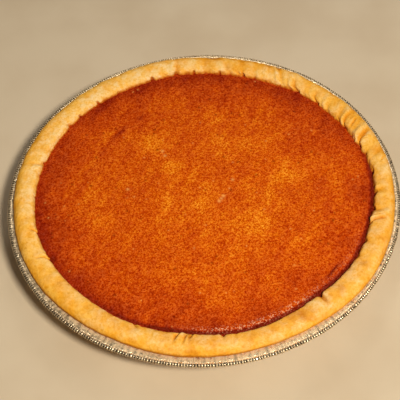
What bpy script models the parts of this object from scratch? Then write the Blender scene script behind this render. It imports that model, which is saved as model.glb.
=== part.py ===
"""A whole sweet potato pie in its own nine-inch foil pan.

Three solids nest in one another: the pan with its rolled rim, the pastry shell with a thick hand-pressed
rim that lies on the pan's flange, and the baked filling up to the level where it shows inside the rim.
Units are metres and +Z is up. The origin is the middle of the pan's underside. Angles run
counter-clockwise from +X, and -Y is the front of the pie.
"""

import math
import random

import bmesh
import bpy
import numpy as np

MM = 0.001
GAP = 0.3 * MM  # clearance between pieces that touch
WALL_GAP = 0.45 * MM  # the same on flat-sided round walls, whose middles lie a little further in

# Foil pan: a pressed nine-inch pan, measured over its rolled rim.
PAN_RADIUS = 123.2 * MM
PAN_HEIGHT = 28.6 * MM  # top of the flange above the table
FOIL = 0.6 * MM
BASE_RADIUS = 92.0 * MM
WALL_TOP_RADIUS = 111.0 * MM
BASE_CORNER = 5.0 * MM
FLANGE_BEND = 2.0 * MM
ROLL_RADIUS = 1.5 * MM
ROLL_DROP = 0.9 * MM  # the rolled edge's centre lies this far under the flange's top

# Pastry shell.
PASTRY = 3.6 * MM  # thickness of the base and wall
SEAT = PAN_HEIGHT + GAP  # underside of the pastry rim, on the flange
RIM_OUTER = 118.2 * MM
RIM_INNER = 103.9 * MM
RIM_HEIGHT = 6.0 * MM
RIM_FOOT_INSET = 0.6 * MM  # the rim's outer foot curls in under its edge
RIM_FOOT_RISE = 0.8 * MM
# The rim's section, as (share of the width in from the outer edge, share of the height).
RIM_PROFILE = ((0.05, 0.5), (0.2, 0.86), (0.45, 1.0), (0.87, 0.84))
RIM_SWELL = 9.0 * MM  # how far down the wall the rim's extra thickness reaches
LIP_INSET = 0.3 * MM  # the inner wall starts this far inside the filling line
LIP_DROP = 1.0 * MM  # and this far below the flange
FILL_SHARE = 0.36  # the filling meets the rim's inner slope at this share of its height

# Slow unevenness of the rim, as (waves round the pie, depth, phase).
OUTER_WAVES = ((1, 0.3 * MM, 0.45), (2, 1.2 * MM, 1.8), (3, 0.2 * MM, 0.5), (5, 0.25 * MM, 4.7),
               (6, 0.3 * MM, 4.7), (7, 0.25 * MM, 0.75))
INNER_WAVES = ((1, 0.9 * MM, 2.7), (2, 1.3 * MM, 1.6), (3, 0.45 * MM, 0.4), (4, 0.53 * MM, 1.05),
               (5, 0.2 * MM, 3.3), (8, 0.32 * MM, 0.5), (9, 0.3 * MM, 0.8))
HEIGHT_WAVES = ((1, 0.3 * MM, 5.2), (4, 0.3 * MM, 2.4), (9, 0.25 * MM, 4.0), (15, 0.15 * MM, 1.3))

# Folds and tears in the rim's inner slope, by hand: the angle at the filling and at the fold's far end, half
# its width, its depth, the share of the rim's width that it crosses, and how far the dough beside it stands
# up, as a share of its depth (above 0 on the side of larger angles, below 0 on the other).
FOLDS = ((49.3, 53.2, 1.9 * MM, 1.6 * MM, 0.6, 0.7), (40.2, 43.4, 1.7 * MM, 1.3 * MM, 0.42, -0.4),
         (24.6, 29.4, 1.7 * MM, 1.2 * MM, 0.58, 0.6), (15.7, 21.2, 2.2 * MM, 1.9 * MM, 0.75, 0.8),
         (3.6, 6.4, 2.6 * MM, 1.1 * MM, 0.28, 0.3), (58.6, 62.4, 1.8 * MM, 1.1 * MM, 0.65, 0.5),
         (66.6, 69.4, 1.7 * MM, 1.2 * MM, 0.55, -0.5), (76.4, 80.5, 2.0 * MM, 0.9 * MM, 0.7, 0.4),
         (86.4, 89.4, 1.8 * MM, 0.7 * MM, 0.6, 0.3), (97.3, 96.6, 2.0 * MM, 1.4 * MM, 0.45, 0.5),
         (106.6, 106.8, 1.6 * MM, 1.4 * MM, 0.22, -0.4), (129.5, 130.0, 1.6 * MM, 1.2 * MM, 0.2, 0.5),
         (144.2, 145.0, 1.7 * MM, 0.9 * MM, 0.2, 0.4), (163.2, 165.5, 1.7 * MM, 0.9 * MM, 0.4, 0.6),
         (-165.8, -166.2, 1.6 * MM, 1.3 * MM, 0.3, 0.5), (-154.1, -154.8, 1.6 * MM, 1.3 * MM, 0.38, -0.5),
         (-121.8, -122.2, 1.6 * MM, 0.9 * MM, 0.3, 0.5), (-116.4, -115.7, 1.6 * MM, 1.3 * MM, 0.32, 0.6),
         (-99.6, -101.2, 1.6 * MM, 1.6 * MM, 0.44, -0.5), (-95.4, -96.8, 1.6 * MM, 1.5 * MM, 0.32, 0.4),
         (-87.1, -86.8, 1.6 * MM, 1.2 * MM, 0.6, -0.4), (-51.9, -52.4, 1.8 * MM, 1.9 * MM, 0.64, -0.3),
         (-32.3, -32.6, 2.8 * MM, 0.8 * MM, 0.38, 0.2), (-25.6, -26.1, 1.8 * MM, 0.9 * MM, 0.38, 0.3),
         (-18.2, -16.7, 1.6 * MM, 2.0 * MM, 0.38, 1.0), (-11.8, -13.2, 1.7 * MM, 1.2 * MM, 0.34, -0.3),
         (-5.6, -4.6, 2.1 * MM, 1.0 * MM, 0.5, 0.4))

# Small dents pressed into the whole rim, drawn with a fixed seed.
DENT_SEED = 11
DENTS = 34
DENT_WIDTH = (2.4 * MM, 4.5 * MM)
DENT_DEPTH = (0.15 * MM, 0.45 * MM)

# Filling.
FILL_DOME = 1.4 * MM  # how much the middle stands above the edge
FILL_SHOULDER = 4.0 * MM  # the edge rounds over within this distance
FILL_EDGE_DROP = 0.8 * MM
SHRINK = 0.8 * MM  # widest gap where the filling has drawn away from the rim
SHRINK_DROP = 1.0 * MM  # how much lower its edge lies there
SHRINK_MIDDLE = math.radians(-30.0)
SHRINK_SPREAD = math.radians(42.0)
FILL_WAVES = ((2, 0.25 * MM, 0.8), (3, 0.3 * MM, 2.9), (5, 0.25 * MM, 4.4))

# How finely each piece is faceted: sides round the pie, and steps across the rim's section.
PAN_SIDES = 96
CORNER_STEPS = 3
BEND_STEPS = 2
ROLL_POINTS = 9
RIM_SIDES = 240
RIM_STEPS = 10
HIDDEN_SIDES = 60
FILL_SIDES = 96
# Rings of the filling's top, as (share of the radius, sides).
FILL_RINGS = ((0.15, 12), (0.36, 24), (0.57, 48), (0.77, 48), (0.9, 96), (0.965, 96))

PASTRY_COLOUR = (0.90, 0.50, 0.16, 1.0)
FILLING_COLOUR = (0.62, 0.12, 0.008, 1.0)
FOIL_COLOUR = (0.82, 0.82, 0.83, 1.0)


def angles_of(sides):
    """Evenly spaced angles round the pie."""
    return np.arange(sides) * (2 * math.pi / sides)


def waves(angle, terms):
    """Sum of the sine waves in terms at each angle."""
    return sum(depth * np.sin(count * angle + phase) for count, depth, phase in terms)


def turn_between(angle, other):
    """Signed difference of two angles, between minus and plus half a turn."""
    return (angle - other + math.pi) % (2 * math.pi) - math.pi


def smooth_step(value, low, high):
    """Rises smoothly from 0 at low to 1 at high."""
    t = np.clip((value - low) / (high - low), 0, 1)
    return t * t * (3 - 2 * t)


def fillet(before, corner, after, radius, steps):
    """Points on the arc of this radius that rounds the corner between two straight legs."""
    before, corner, after = (np.array(p, float) for p in (before, corner, after))
    into = (before - corner) / np.linalg.norm(before - corner)
    out = (after - corner) / np.linalg.norm(after - corner)
    half = math.acos(float(np.clip(into @ out, -1, 1))) / 2
    bisector = (into + out) / np.linalg.norm(into + out)
    centre = corner + bisector * radius / math.sin(half)
    start = corner + into * radius / math.tan(half) - centre
    end = corner + out * radius / math.tan(half) - centre
    sweep = math.pi - 2 * half
    if start[0] * end[1] - start[1] * end[0] < 0:
        sweep = -sweep
    points = []
    for step in range(steps + 1):
        turn = sweep * step / steps
        c, s = math.cos(turn), math.sin(turn)
        points.append((centre[0] + c * start[0] - s * start[1], centre[1] + s * start[0] + c * start[1]))
    return points


def offset(path, distance):
    """The path of (radius, height) points moved to its left by distance, with mitred corners."""
    path = np.array(path, float)
    legs = np.diff(path, axis=0)
    normals = np.stack([-legs[:, 1], legs[:, 0]], axis=1) / np.linalg.norm(legs, axis=1)[:, None]
    before, after = np.concatenate([normals[:1], normals]), np.concatenate([normals, normals[-1:]])
    middle = before + after
    middle /= (middle * before).sum(axis=1)[:, None]
    return path + middle * distance


def pan_inside():
    """Inner line of the pan from the base's rounded corner to the flange, as (radius, height) points."""
    middle, corner = (0.0, FOIL), (BASE_RADIUS, FOIL)
    brim, flange_end = (WALL_TOP_RADIUS, PAN_HEIGHT), (PAN_RADIUS - 2 * ROLL_RADIUS, PAN_HEIGHT)
    return [*fillet(middle, corner, brim, BASE_CORNER, CORNER_STEPS),
            *fillet(corner, brim, flange_end, FLANGE_BEND, BEND_STEPS)]


def rolled_edge():
    """Outline of the rolled rim, from the flange's top round to its underside."""
    centre_radius, centre_height = PAN_RADIUS - ROLL_RADIUS, PAN_HEIGHT - ROLL_DROP
    start = math.pi - math.asin(ROLL_DROP / ROLL_RADIUS)
    end = -math.pi - math.asin((ROLL_DROP - FOIL) / ROLL_RADIUS)
    turns = np.linspace(start, end, ROLL_POINTS)
    return [(centre_radius + ROLL_RADIUS * math.cos(turn), centre_height + ROLL_RADIUS * math.sin(turn))
            for turn in turns]


def spline(points, steps):
    """Catmull-Rom curve through points of shape (n, ..., 2), sampled at steps + 1 even places."""
    held = np.concatenate([2 * points[:1] - points[1:2], points, 2 * points[-1:] - points[-2:-1]])
    found = []
    for place in np.linspace(0, len(points) - 1, steps + 1):
        leg = min(int(place), len(points) - 2)
        t = place - leg
        a, b, c, d = held[leg:leg + 4]
        found.append(0.5 * (2 * b + (c - a) * t + (2 * a - 5 * b + 4 * c - d) * t ** 2
                            + (3 * b - a - 3 * c + d) * t ** 3))
    return np.array(found)


def rim_outer(angle):
    """Radius of the pastry rim's outer edge."""
    return RIM_OUTER + waves(angle, OUTER_WAVES)


def rim_inner(angle):
    """Radius of the pastry rim where the filling meets it."""
    return RIM_INNER + waves(angle, INNER_WAVES)


def rim_height(angle):
    """Height of the pastry rim's crest above the flange."""
    return RIM_HEIGHT + waves(angle, HEIGHT_WAVES)


def draw_dents():
    """Small dents in the rim as (angle, share of the width, half width, depth)."""
    draw = random.Random(DENT_SEED)
    step = 2 * math.pi / DENTS
    return [(step * (number + draw.uniform(-0.4, 0.4)), draw.uniform(0.3, 0.75), draw.uniform(*DENT_WIDTH),
             draw.uniform(*DENT_DEPTH)) for number in range(DENTS)]


def rim_relief(angle, share):
    """Depth of the folds and dents under the smooth rim; share is 0 at the outer edge, 1 at the filling."""
    depth = np.zeros(np.broadcast(angle, share).shape)
    for place, far_place, width, deep, reach, ridge in FOLDS:
        along = np.clip((1 - share) / reach, 0, 1)
        line = np.radians(place + (far_place - place) * along * (2 - along))
        across = RIM_INNER * turn_between(angle, line) / width
        beside = across - math.copysign(1.5, ridge)
        lip = abs(ridge) * np.exp(-beside ** 2) * smooth_step(1 - share, 0.02, 0.15)
        depth += deep * (np.exp(-across ** 2) - lip) * smooth_step(share, 1 - reach, 1 - 0.6 * reach)
    for place, middle, width, deep in draw_dents():
        across = RIM_OUTER * turn_between(angle, place) / width
        up = (share - middle) * (RIM_OUTER - RIM_INNER) / width
        depth += deep * np.exp(-across ** 2 - up ** 2)
    return depth * smooth_step(share, 0.02, 0.14)


def rim_section(angle, steps):
    """Section of the pastry rim over the flange, from its outer foot to the filling line.

    angle is an array of n angles; the result holds steps + 1 rows of n (radius, height) points.
    """
    outer, inner, height = rim_outer(angle), rim_inner(angle), rim_height(angle)
    width = outer - inner
    guide = [(outer - RIM_FOOT_INSET, 0.0 * height), (outer, RIM_FOOT_RISE + 0.0 * height),
             *((outer - inward * width, rise * height) for inward, rise in RIM_PROFILE),
             (inner, FILL_SHARE * height)]
    section = spline(np.array([np.stack([radius, SEAT + rise], axis=-1) for radius, rise in guide]), steps)
    along = np.gradient(section, axis=0)
    normal = np.stack([-along[..., 1], along[..., 0]], axis=-1)
    normal /= np.linalg.norm(normal, axis=-1)[..., None]
    share = np.linspace(0, 1, steps + 1)[:, None]
    return section + normal * rim_relief(angle[None, :], share)[..., None]


def pastry_inside(angle):
    """Rows of (radius, height) points down the pastry's inner wall, from the filling line to the base."""
    line = offset(pan_inside(), GAP + PASTRY)
    foot, top = line[CORNER_STEPS:CORNER_STEPS + 2]
    edge = rim_inner(angle) - LIP_INSET
    flat = np.zeros_like(angle)
    rows = [(edge, SEAT - LIP_DROP + flat)]
    for share in (0.4, 1.0):
        level = SEAT - RIM_SWELL * share
        plain = foot[0] + (top[0] - foot[0]) * (level - foot[1]) / (top[1] - foot[1])
        rows.append(((1 - share) * (edge - 2 * LIP_INSET) + share * plain, level + flat))
    rows += [(radius + flat, level + flat) for radius, level in line[CORNER_STEPS::-1]]
    return [np.stack(row, axis=-1) for row in rows]


def drawn_away(angle):
    """How far the filling has drawn away from the rim at each angle, from 0 to 1."""
    return np.exp(-(turn_between(angle, SHRINK_MIDDLE) / SHRINK_SPREAD) ** 4)


def filling_edge(angle):
    """Radius of the filling's edge, clear of the rim's own unevenness on either side of the angle."""
    nearby = [rim_inner(angle + turn) for turn in np.radians((-2.0, 0.0, 2.0))]
    return np.minimum.reduce(nearby) - GAP - SHRINK * drawn_away(angle)


def filling_top(angle, share):
    """Height of the baked filling's surface at a share of its edge's radius."""
    level = SEAT + FILL_SHARE * (RIM_HEIGHT + waves(angle, HEIGHT_WAVES) * share ** 4)
    dome = FILL_DOME * (1 - share ** 2)
    swell = waves(angle, FILL_WAVES) * np.sin(math.pi * share) * share
    shoulder = np.clip(1 - (1 - share) * RIM_INNER / FILL_SHOULDER, 0, 1) ** 2
    return level + dome + swell - (FILL_EDGE_DROP + SHRINK_DROP * drawn_away(angle)) * shoulder


def ring(bm, radius, height, sides):
    """Vertices round the pie at the given radii and heights, each one value or one for each side."""
    radius, height = np.broadcast_to(radius, (sides,)), np.broadcast_to(height, (sides,))
    return [bm.verts.new((r * math.cos(a), r * math.sin(a), z))
            for a, r, z in zip(angles_of(sides), radius, height)]


def join_rings(bm, first, second):
    """Faces between two rings; rings of different counts are joined by triangles in order of angle."""
    m, n = len(first), len(second)
    if m == n:
        for i in range(m):
            j = (i + 1) % m
            bm.faces.new((first[i], second[i], second[j], first[j]))
        return
    i = j = 0
    while i < m or j < n:
        if j < n and (i >= m or (j + 1) * m <= (i + 1) * n):
            bm.faces.new((first[i % m], second[j % n], second[(j + 1) % n]))
            j += 1
        else:
            bm.faces.new((first[i % m], second[j % n], first[(i + 1) % m]))
            i += 1


def close_ring(bm, loop, height, facing_up):
    """Closes a ring with triangles that meet on the pie's axis."""
    middle = bm.verts.new((0, 0, height))
    for i, vert in enumerate(loop):
        follower = loop[(i + 1) % len(loop)]
        bm.faces.new((middle, vert, follower) if facing_up else (middle, follower, vert))


def closed_skin(name, rings, top, bottom, material):
    """Object whose skin runs from its upper middle out over the rings and back to its lower middle.

    rings holds (radius, height, sides) for each ring.
    """
    bm = bmesh.new()
    loops = [ring(bm, *each) for each in rings]
    close_ring(bm, loops[0], top, facing_up=True)
    for first, second in zip(loops, loops[1:]):
        join_rings(bm, first, second)
    close_ring(bm, loops[-1], bottom, facing_up=False)
    mesh = bpy.data.meshes.new(name)
    bm.to_mesh(mesh)
    bm.free()
    mesh.shade_smooth()
    mesh.set_sharp_from_angle(angle=math.radians(40))
    mesh.materials.append(material)
    made = bpy.data.objects.new(name, mesh)
    bpy.context.scene.collection.objects.link(made)
    return made


def finish(name, colour, roughness, metallic=0.0):
    """Plain Principled material."""
    material = bpy.data.materials.new(name)
    material.use_nodes = True
    shader = material.node_tree.nodes["Principled BSDF"]
    shader.inputs["Base Color"].default_value = colour
    shader.inputs["Roughness"].default_value = roughness
    shader.inputs["Metallic"].default_value = metallic
    return material


def make_pan():
    """The foil pan: base, sloping wall, flange and rolled edge."""
    inside = pan_inside()
    line = [*inside[:-1], *rolled_edge(), *offset(inside, -FOIL)[-2::-1]]
    rings = [(radius, height, PAN_SIDES) for radius, height in line]
    return closed_skin("foil_pan", rings, FOIL, 0.0, finish("foil", FOIL_COLOUR, 0.3, 1.0))


def make_pastry():
    """The pastry shell with its pressed rim."""
    rim_angle = angles_of(RIM_SIDES)
    wall = pastry_inside(angles_of(HIDDEN_SIDES))
    seat = offset(pan_inside(), GAP)
    rings = [(row[:, 0], row[:, 1], HIDDEN_SIDES) for row in wall[:0:-1]]
    rings += [(row[:, 0], row[:, 1], RIM_SIDES) for row in pastry_inside(rim_angle)[:1]]
    rings += [(row[:, 0], row[:, 1], RIM_SIDES) for row in rim_section(rim_angle, RIM_STEPS)[::-1]]
    rings += [(radius, height, HIDDEN_SIDES) for radius, height in seat[::-1]]
    return closed_skin("pastry_shell", rings, wall[-1][0, 1], seat[0][1],
                       finish("pastry", PASTRY_COLOUR, 0.75))


def make_filling():
    """The filling: a slightly domed top, a rounded edge and a body that fills the shell."""
    rings = []
    for share, sides in (*FILL_RINGS, (1.0, FILL_SIDES)):
        angle = angles_of(sides)
        rings.append((filling_edge(angle) * share, filling_top(angle, share), sides))
    angle = angles_of(FILL_SIDES)
    rings.append((filling_edge(angle) - LIP_INSET, pastry_inside(angle)[0][:, 1], FILL_SIDES))
    for row in pastry_inside(angles_of(HIDDEN_SIDES))[1:]:
        rings.append((row[:, 0] - WALL_GAP, row[:, 1] + GAP, HIDDEN_SIDES))
    return closed_skin("filling", rings, filling_top(0.0, 0.0), rings[-1][1][0],
                       finish("filling", FILLING_COLOUR, 0.5))


def clear_scene():
    """Removes whatever the scene starts with."""
    for found in list(bpy.data.objects):
        bpy.data.objects.remove(found, do_unlink=True)


def main():
    clear_scene()
    make_pan()
    make_pastry()
    make_filling()


main()
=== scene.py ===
"""Looks of a whole sweet potato pie in its own nine-inch foil pan.

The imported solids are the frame. Each of the three sub-assemblies, the foil pan, the pastry shell and the
filling, is a class that holds its sizes and makes the fine surface that stands for its solid. The slow form
of the rim and of the filling repeats the solids' own named sizes, so the fine surface lies on them, and the
creases, crumb, blisters and crimps come on top. Units are metres and +Z is up. Angles run counter-clockwise
from +X, and -Y is the front of the pie.
"""

import logging
import math
import random
from dataclasses import dataclass, field
from enum import Enum
from functools import lru_cache
from itertools import product
from typing import Iterable, Sequence

import bpy
import numpy as np
from mathutils import Matrix, Vector

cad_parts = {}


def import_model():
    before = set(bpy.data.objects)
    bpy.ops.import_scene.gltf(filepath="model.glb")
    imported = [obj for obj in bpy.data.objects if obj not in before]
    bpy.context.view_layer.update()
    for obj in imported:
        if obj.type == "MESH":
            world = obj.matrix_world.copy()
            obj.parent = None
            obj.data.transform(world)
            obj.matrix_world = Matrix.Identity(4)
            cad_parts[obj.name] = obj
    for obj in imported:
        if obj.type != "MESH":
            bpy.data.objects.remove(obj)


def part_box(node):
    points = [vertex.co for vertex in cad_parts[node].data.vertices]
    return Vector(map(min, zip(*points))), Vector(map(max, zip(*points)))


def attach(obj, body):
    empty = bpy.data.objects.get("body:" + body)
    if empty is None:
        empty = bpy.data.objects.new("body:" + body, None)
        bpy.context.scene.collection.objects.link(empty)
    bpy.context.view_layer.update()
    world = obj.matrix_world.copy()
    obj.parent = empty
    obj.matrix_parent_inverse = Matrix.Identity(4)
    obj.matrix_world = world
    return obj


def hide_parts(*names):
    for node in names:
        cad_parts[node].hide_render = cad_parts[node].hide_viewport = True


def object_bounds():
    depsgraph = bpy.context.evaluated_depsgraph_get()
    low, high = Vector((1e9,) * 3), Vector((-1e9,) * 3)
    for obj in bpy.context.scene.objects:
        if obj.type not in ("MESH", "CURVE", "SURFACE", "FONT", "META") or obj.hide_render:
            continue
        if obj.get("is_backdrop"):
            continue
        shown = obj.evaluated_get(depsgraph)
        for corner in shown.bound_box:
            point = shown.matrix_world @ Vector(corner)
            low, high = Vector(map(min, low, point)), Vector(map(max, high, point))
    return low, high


MM = 0.001
BODY = "root"
CONTACT = 0.3 * MM  # the gap that stands for the contact of one piece with the next
NOISE_CELLS = 256  # unlike cells before the noise repeats
NOISE_REACH = 1.6  # brings the noise to about 1 at its highest

Array = np.ndarray
Colour = tuple[float, float, float]
Socket = bpy.types.NodeSocket
Value = Socket | float
Point = tuple[float, float]  # of a section: radius and height
Spot = tuple[float, float, float]  # x, y and radius

WHITE: Colour = (1.0, 1.0, 1.0)

log = logging.getLogger("pie")


class Node(Enum):
    """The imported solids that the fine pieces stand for."""

    PAN = "foil_pan"
    PASTRY = "pastry_shell"
    FILLING = "filling"


class Slot(Enum):
    """The record's material slots."""

    FOIL = "foil"
    PASTRY = "pastry"
    FILLING = "filling"


class Sum(Enum):
    """The sums that the finishes use, by Blender's names."""

    ADD = "add"
    MULTIPLY = "multiply"


class Blend(Enum):
    """The ways in which two colours are mixed, by Blender's names."""

    MIX = "mix"
    MULTIPLY = "multiply"


class Mark(Enum):
    """What a mesh tells its finish at each point, kept as mesh attributes of these names."""

    BLOOM = "bloom"  # how pale and floury the pastry is, with painted highlight on raised dough and painted light on some slopes
    CREASE = "crease"  # painted shade: darkening in creases, cracks, crimp grooves and on parts turned from the light
    TOAST = "toast"  # how far the oven has coloured the pastry, with painted shade in hollows and on slopes turned from the lamp
    STAIN = "stain"  # filling that has baked onto the pastry
    SEAR = "sear"  # how far the filling has darkened, with painted shade along parts of its edge and painted light lifting it near the pastry
    GLAZE = "glaze"  # blistered, glossy custard, with painted glints on it
    MATT = "matt"  # foil that has lost its shine, where its colour is also a painted orange reflection of the pastry
    PIT = "pit"  # burst bubbles
    FLECK = "fleck"  # pale flecks


# ---- Numbers and shapes that every piece uses ----


def angles_of(sides: int) -> Array:
    """Evenly spaced angles round the pie."""
    return np.arange(sides) * (2 * math.pi / sides)


def turn_between(angle: Array, other: Array | float) -> Array:
    """Signed difference of two angles, between minus and plus half a turn."""
    return (angle - other + math.pi) % (2 * math.pi) - math.pi


def smooth_step(value: Array | float, low: float, high: float) -> Array:
    """Rises smoothly from 0 at low to 1 at high."""
    t = np.clip((value - low) / (high - low), 0, 1)
    return t * t * (3 - 2 * t)


def around(radius: Array, angle: Array, height: Array) -> Array:
    """Points in space from cylinder coordinates.

    Args:
        radius: distances from the pie's axis.
        angle: angles round it, in radians.
        height: heights above the table.

    Returns:
        An array of the common shape with x, y and z last.
    """
    radius, angle, height = np.broadcast_arrays(radius, angle, height)
    return np.stack([radius * np.cos(angle), radius * np.sin(angle), height], axis=-1)


@lru_cache(maxsize=None)
def lattice(seed: int) -> tuple[Array, Array]:
    """The cells that noise is made of.

    Args:
        seed: picks the draw.

    Returns:
        An order of NOISE_CELLS cells, and a unit slope for each.
    """
    draw = np.random.default_rng(seed)
    slopes = draw.normal(size=(NOISE_CELLS, 3))
    return draw.permutation(NOISE_CELLS), slopes / np.linalg.norm(slopes, axis=1)[:, None]


def noise(points: Array, size: float, seed: int) -> Array:
    """Smooth seeded noise in space.

    Args:
        points: places, with x, y and z last.
        size: about the distance from one bump to the next, in metres.
        seed: picks the pattern.

    Returns:
        Values between about -1 and 1, one for each point.
    """
    order, slopes = lattice(seed)
    scaled = points / size
    cell = np.floor(scaled).astype(int)
    inside = scaled - cell
    ease = inside ** 3 * (inside * (inside * 6 - 15) + 10)
    total = np.zeros(points.shape[:-1])
    for corner in product((0, 1), repeat=3):
        x, y, z = np.moveaxis(cell + corner, -1, 0)
        slope = slopes[order[(x + order[(y + order[z % NOISE_CELLS]) % NOISE_CELLS]) % NOISE_CELLS]]
        weight = np.where(corner, ease, 1 - ease).prod(axis=-1)
        total += weight * ((inside - corner) * slope).sum(axis=-1)
    return total * NOISE_REACH


@dataclass(frozen=True)
class Bumps:
    """One layer of noise: its strength, about the distance from one bump to the next, and its seed."""

    strength: float
    size: float
    seed: int

    def at(self, points: Array) -> Array:
        """The layer's value at each point."""
        return self.strength * noise(points, self.size, self.seed)


@dataclass(frozen=True)
class Wave:
    """One slow wave round the pie: how many crests it has, its depth and its phase."""

    count: int
    depth: float
    phase: float

    def at(self, angle: Array) -> Array:
        """Height of the wave at each angle."""
        return self.depth * np.sin(self.count * angle + self.phase)


@dataclass(frozen=True)
class Sector:
    """A stretch of the pie's round, by its middle and half its width in degrees, that fades out to both sides."""

    middle: float
    spread: float
    power: int = 2  # 2 fades softly; a higher power stays level for longer and ends more sharply

    def at(self, angle: Array) -> Array:
        """How much each angle belongs to it, from 0 to 1."""
        return np.exp(-(turn_between(angle, math.radians(self.middle)) / math.radians(self.spread)) ** self.power)


def sum_of(layers: Iterable[Bumps | Wave], where: Array) -> Array:
    """All the layers added up at each point or angle."""
    return sum(layer.at(where) for layer in layers)


def spline(points: Array, steps: int) -> Array:
    """Catmull-Rom curve through guide points.

    Args:
        points: the guide points, of shape (n, ..., 2).
        steps: how many even steps to sample the curve in.

    Returns:
        steps + 1 rows of points.
    """
    held = np.concatenate([2 * points[:1] - points[1:2], points, 2 * points[-1:] - points[-2:-1]])
    found = []
    for place in np.linspace(0, len(points) - 1, steps + 1):
        leg = min(int(place), len(points) - 2)
        t = place - leg
        a, b, c, d = held[leg:leg + 4]
        found.append(0.5 * (2 * b + (c - a) * t + (2 * a - 5 * b + 4 * c - d) * t ** 2
                            + (3 * b - a - 3 * c + d) * t ** 3))
    return np.array(found)


def fillet(before: Sequence[float], corner: Sequence[float], after: Sequence[float], radius: float,
           steps: int) -> list[tuple[float, float]]:
    """The arc that rounds the corner between two straight legs.

    Args:
        before: a point on the first leg.
        corner: where the legs meet.
        after: a point on the second leg.
        radius: the arc's radius.
        steps: how many even steps the arc takes.

    Returns:
        steps + 1 points along the arc.
    """
    before, corner, after = (np.array(p, float) for p in (before, corner, after))
    into = (before - corner) / np.linalg.norm(before - corner)
    out = (after - corner) / np.linalg.norm(after - corner)
    half = math.acos(float(np.clip(into @ out, -1, 1))) / 2
    bisector = (into + out) / np.linalg.norm(into + out)
    centre = corner + bisector * radius / math.sin(half)
    start = corner + into * radius / math.tan(half) - centre
    end = corner + out * radius / math.tan(half) - centre
    sweep = math.pi - 2 * half
    if start[0] * end[1] - start[1] * end[0] < 0:
        sweep = -sweep
    points = []
    for step in range(steps + 1):
        turn = sweep * step / steps
        c, s = math.cos(turn), math.sin(turn)
        points.append((centre[0] + c * start[0] - s * start[1], centre[1] + s * start[0] + c * start[1]))
    return points


def offset(path: Sequence[tuple[float, float]], distance: float) -> Array:
    """A path moved to its left.

    Args:
        path: (radius, height) points.
        distance: how far each leg moves; less than nothing moves it to the right.

    Returns:
        The moved points, with mitred corners.
    """
    line = np.array(path, float)
    legs = np.diff(line, axis=0)
    normals = np.stack([-legs[:, 1], legs[:, 0]], axis=1) / np.linalg.norm(legs, axis=1)[:, None]
    before, after = np.concatenate([normals[:1], normals]), np.concatenate([normals, normals[-1:]])
    middle = before + after
    middle /= (middle * before).sum(axis=1)[:, None]
    return line + middle * distance


def between(path: Sequence[tuple[float, float]], spacing: float) -> list[tuple[float, float]]:
    """A path with points added so that none of its legs is long.

    Args:
        path: (radius, height) points.
        spacing: about the longest that a leg may be.

    Returns:
        The path's points with the added ones between them.
    """
    found = [tuple(path[0])]
    for start, end in zip(path, path[1:]):
        count = max(1, round(math.dist(start, end) / spacing))
        found += [(start[0] + (end[0] - start[0]) * i / count, start[1] + (end[1] - start[1]) * i / count)
                  for i in range(1, count + 1)]
    return found


@dataclass
class Ring:
    """Points evenly spaced round the pie, with the marks that their finish reads.

    radius and height hold one value for each point, and marks an array for each mark.
    """

    radius: Array
    height: Array
    marks: dict[Mark, Array] = field(default_factory=dict)

    @classmethod
    def level(cls, radius: float, height: float, sides: int) -> "Ring":
        """A plain round ring."""
        return cls(np.full(sides, radius), np.full(sides, height))

    def points(self) -> Array:
        """The ring's points in space."""
        return around(self.radius, angles_of(len(self.radius)), self.height)


class Skin:
    """A closed surface over rings that run from its upper middle out, round and back to its lower middle."""

    def __init__(self, rings: Sequence[Ring], top: float, bottom: float) -> None:
        """Keeps the rings and the heights where the surface meets the axis.

        Args:
            rings: the rings in order.
            top: height of the upper middle.
            bottom: height of the lower middle.
        """
        self.rings = list(rings)
        self.ends = (top, bottom)

    @staticmethod
    def band(first: int, m: int, second: int, n: int) -> list[tuple[int, ...]]:
        """Faces between two rings.

        Args:
            first: index of the first ring's first point.
            m: how many points the first ring has.
            second: index of the second ring's first point.
            n: how many points the second ring has.

        Returns:
            Squares where both rings have as many points, and otherwise triangles in order of angle.
        """
        if m == n:
            return [(first + i, second + i, second + (i + 1) % m, first + (i + 1) % m) for i in range(m)]
        faces = []
        i = j = 0
        while i < m or j < n:
            if j < n and (i >= m or (j + 1) * m <= (i + 1) * n):
                faces.append((first + i % m, second + j % n, second + (j + 1) % n))
                j += 1
            else:
                faces.append((first + i % m, second + j % n, first + (i + 1) % m))
                i += 1
        return faces

    def build(self, name: str) -> bpy.types.Object:
        """Makes the piece and links it.

        Args:
            name: the piece's name.

        Returns:
            The new mesh object.
        """
        counts = [len(ring.radius) for ring in self.rings]
        starts = np.concatenate([[1], 1 + np.cumsum(counts)])
        points = np.concatenate([[(0, 0, self.ends[0])], *(ring.points() for ring in self.rings),
                                 [(0, 0, self.ends[1])]])
        last = len(points) - 1
        faces = [(0, 1 + i, 1 + (i + 1) % counts[0]) for i in range(counts[0])]
        for k in range(len(counts) - 1):
            faces += self.band(int(starts[k]), counts[k], int(starts[k + 1]), counts[k + 1])
        tail, size = int(starts[-2]), counts[-1]
        faces += [(last, tail + (i + 1) % size, tail + i) for i in range(size)]
        mesh = bpy.data.meshes.new(name)
        mesh.from_pydata(points.tolist(), [], faces)
        self.write_marks(mesh)
        mesh.shade_smooth()
        made = bpy.data.objects.new(name, mesh)
        bpy.context.scene.collection.objects.link(made)
        return made

    def write_marks(self, mesh: bpy.types.Mesh) -> None:
        """Stores each mark as a mesh attribute, 0 on rings without it.

        Args:
            mesh: the piece's mesh, its points in the rings' order.
        """
        for mark in (mark for mark in Mark if any(mark in ring.marks for ring in self.rings)):
            values = [ring.marks.get(mark, np.zeros(len(ring.radius))) for ring in self.rings]
            ends = [[values[0].mean()], [values[-1].mean()]]
            whole = np.concatenate([ends[0], *values, ends[1]]).astype(np.float32)
            mesh.attributes.new(mark.value, "FLOAT", "POINT").data.foreach_set("value", whole)


# ---- Finishes ----


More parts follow.
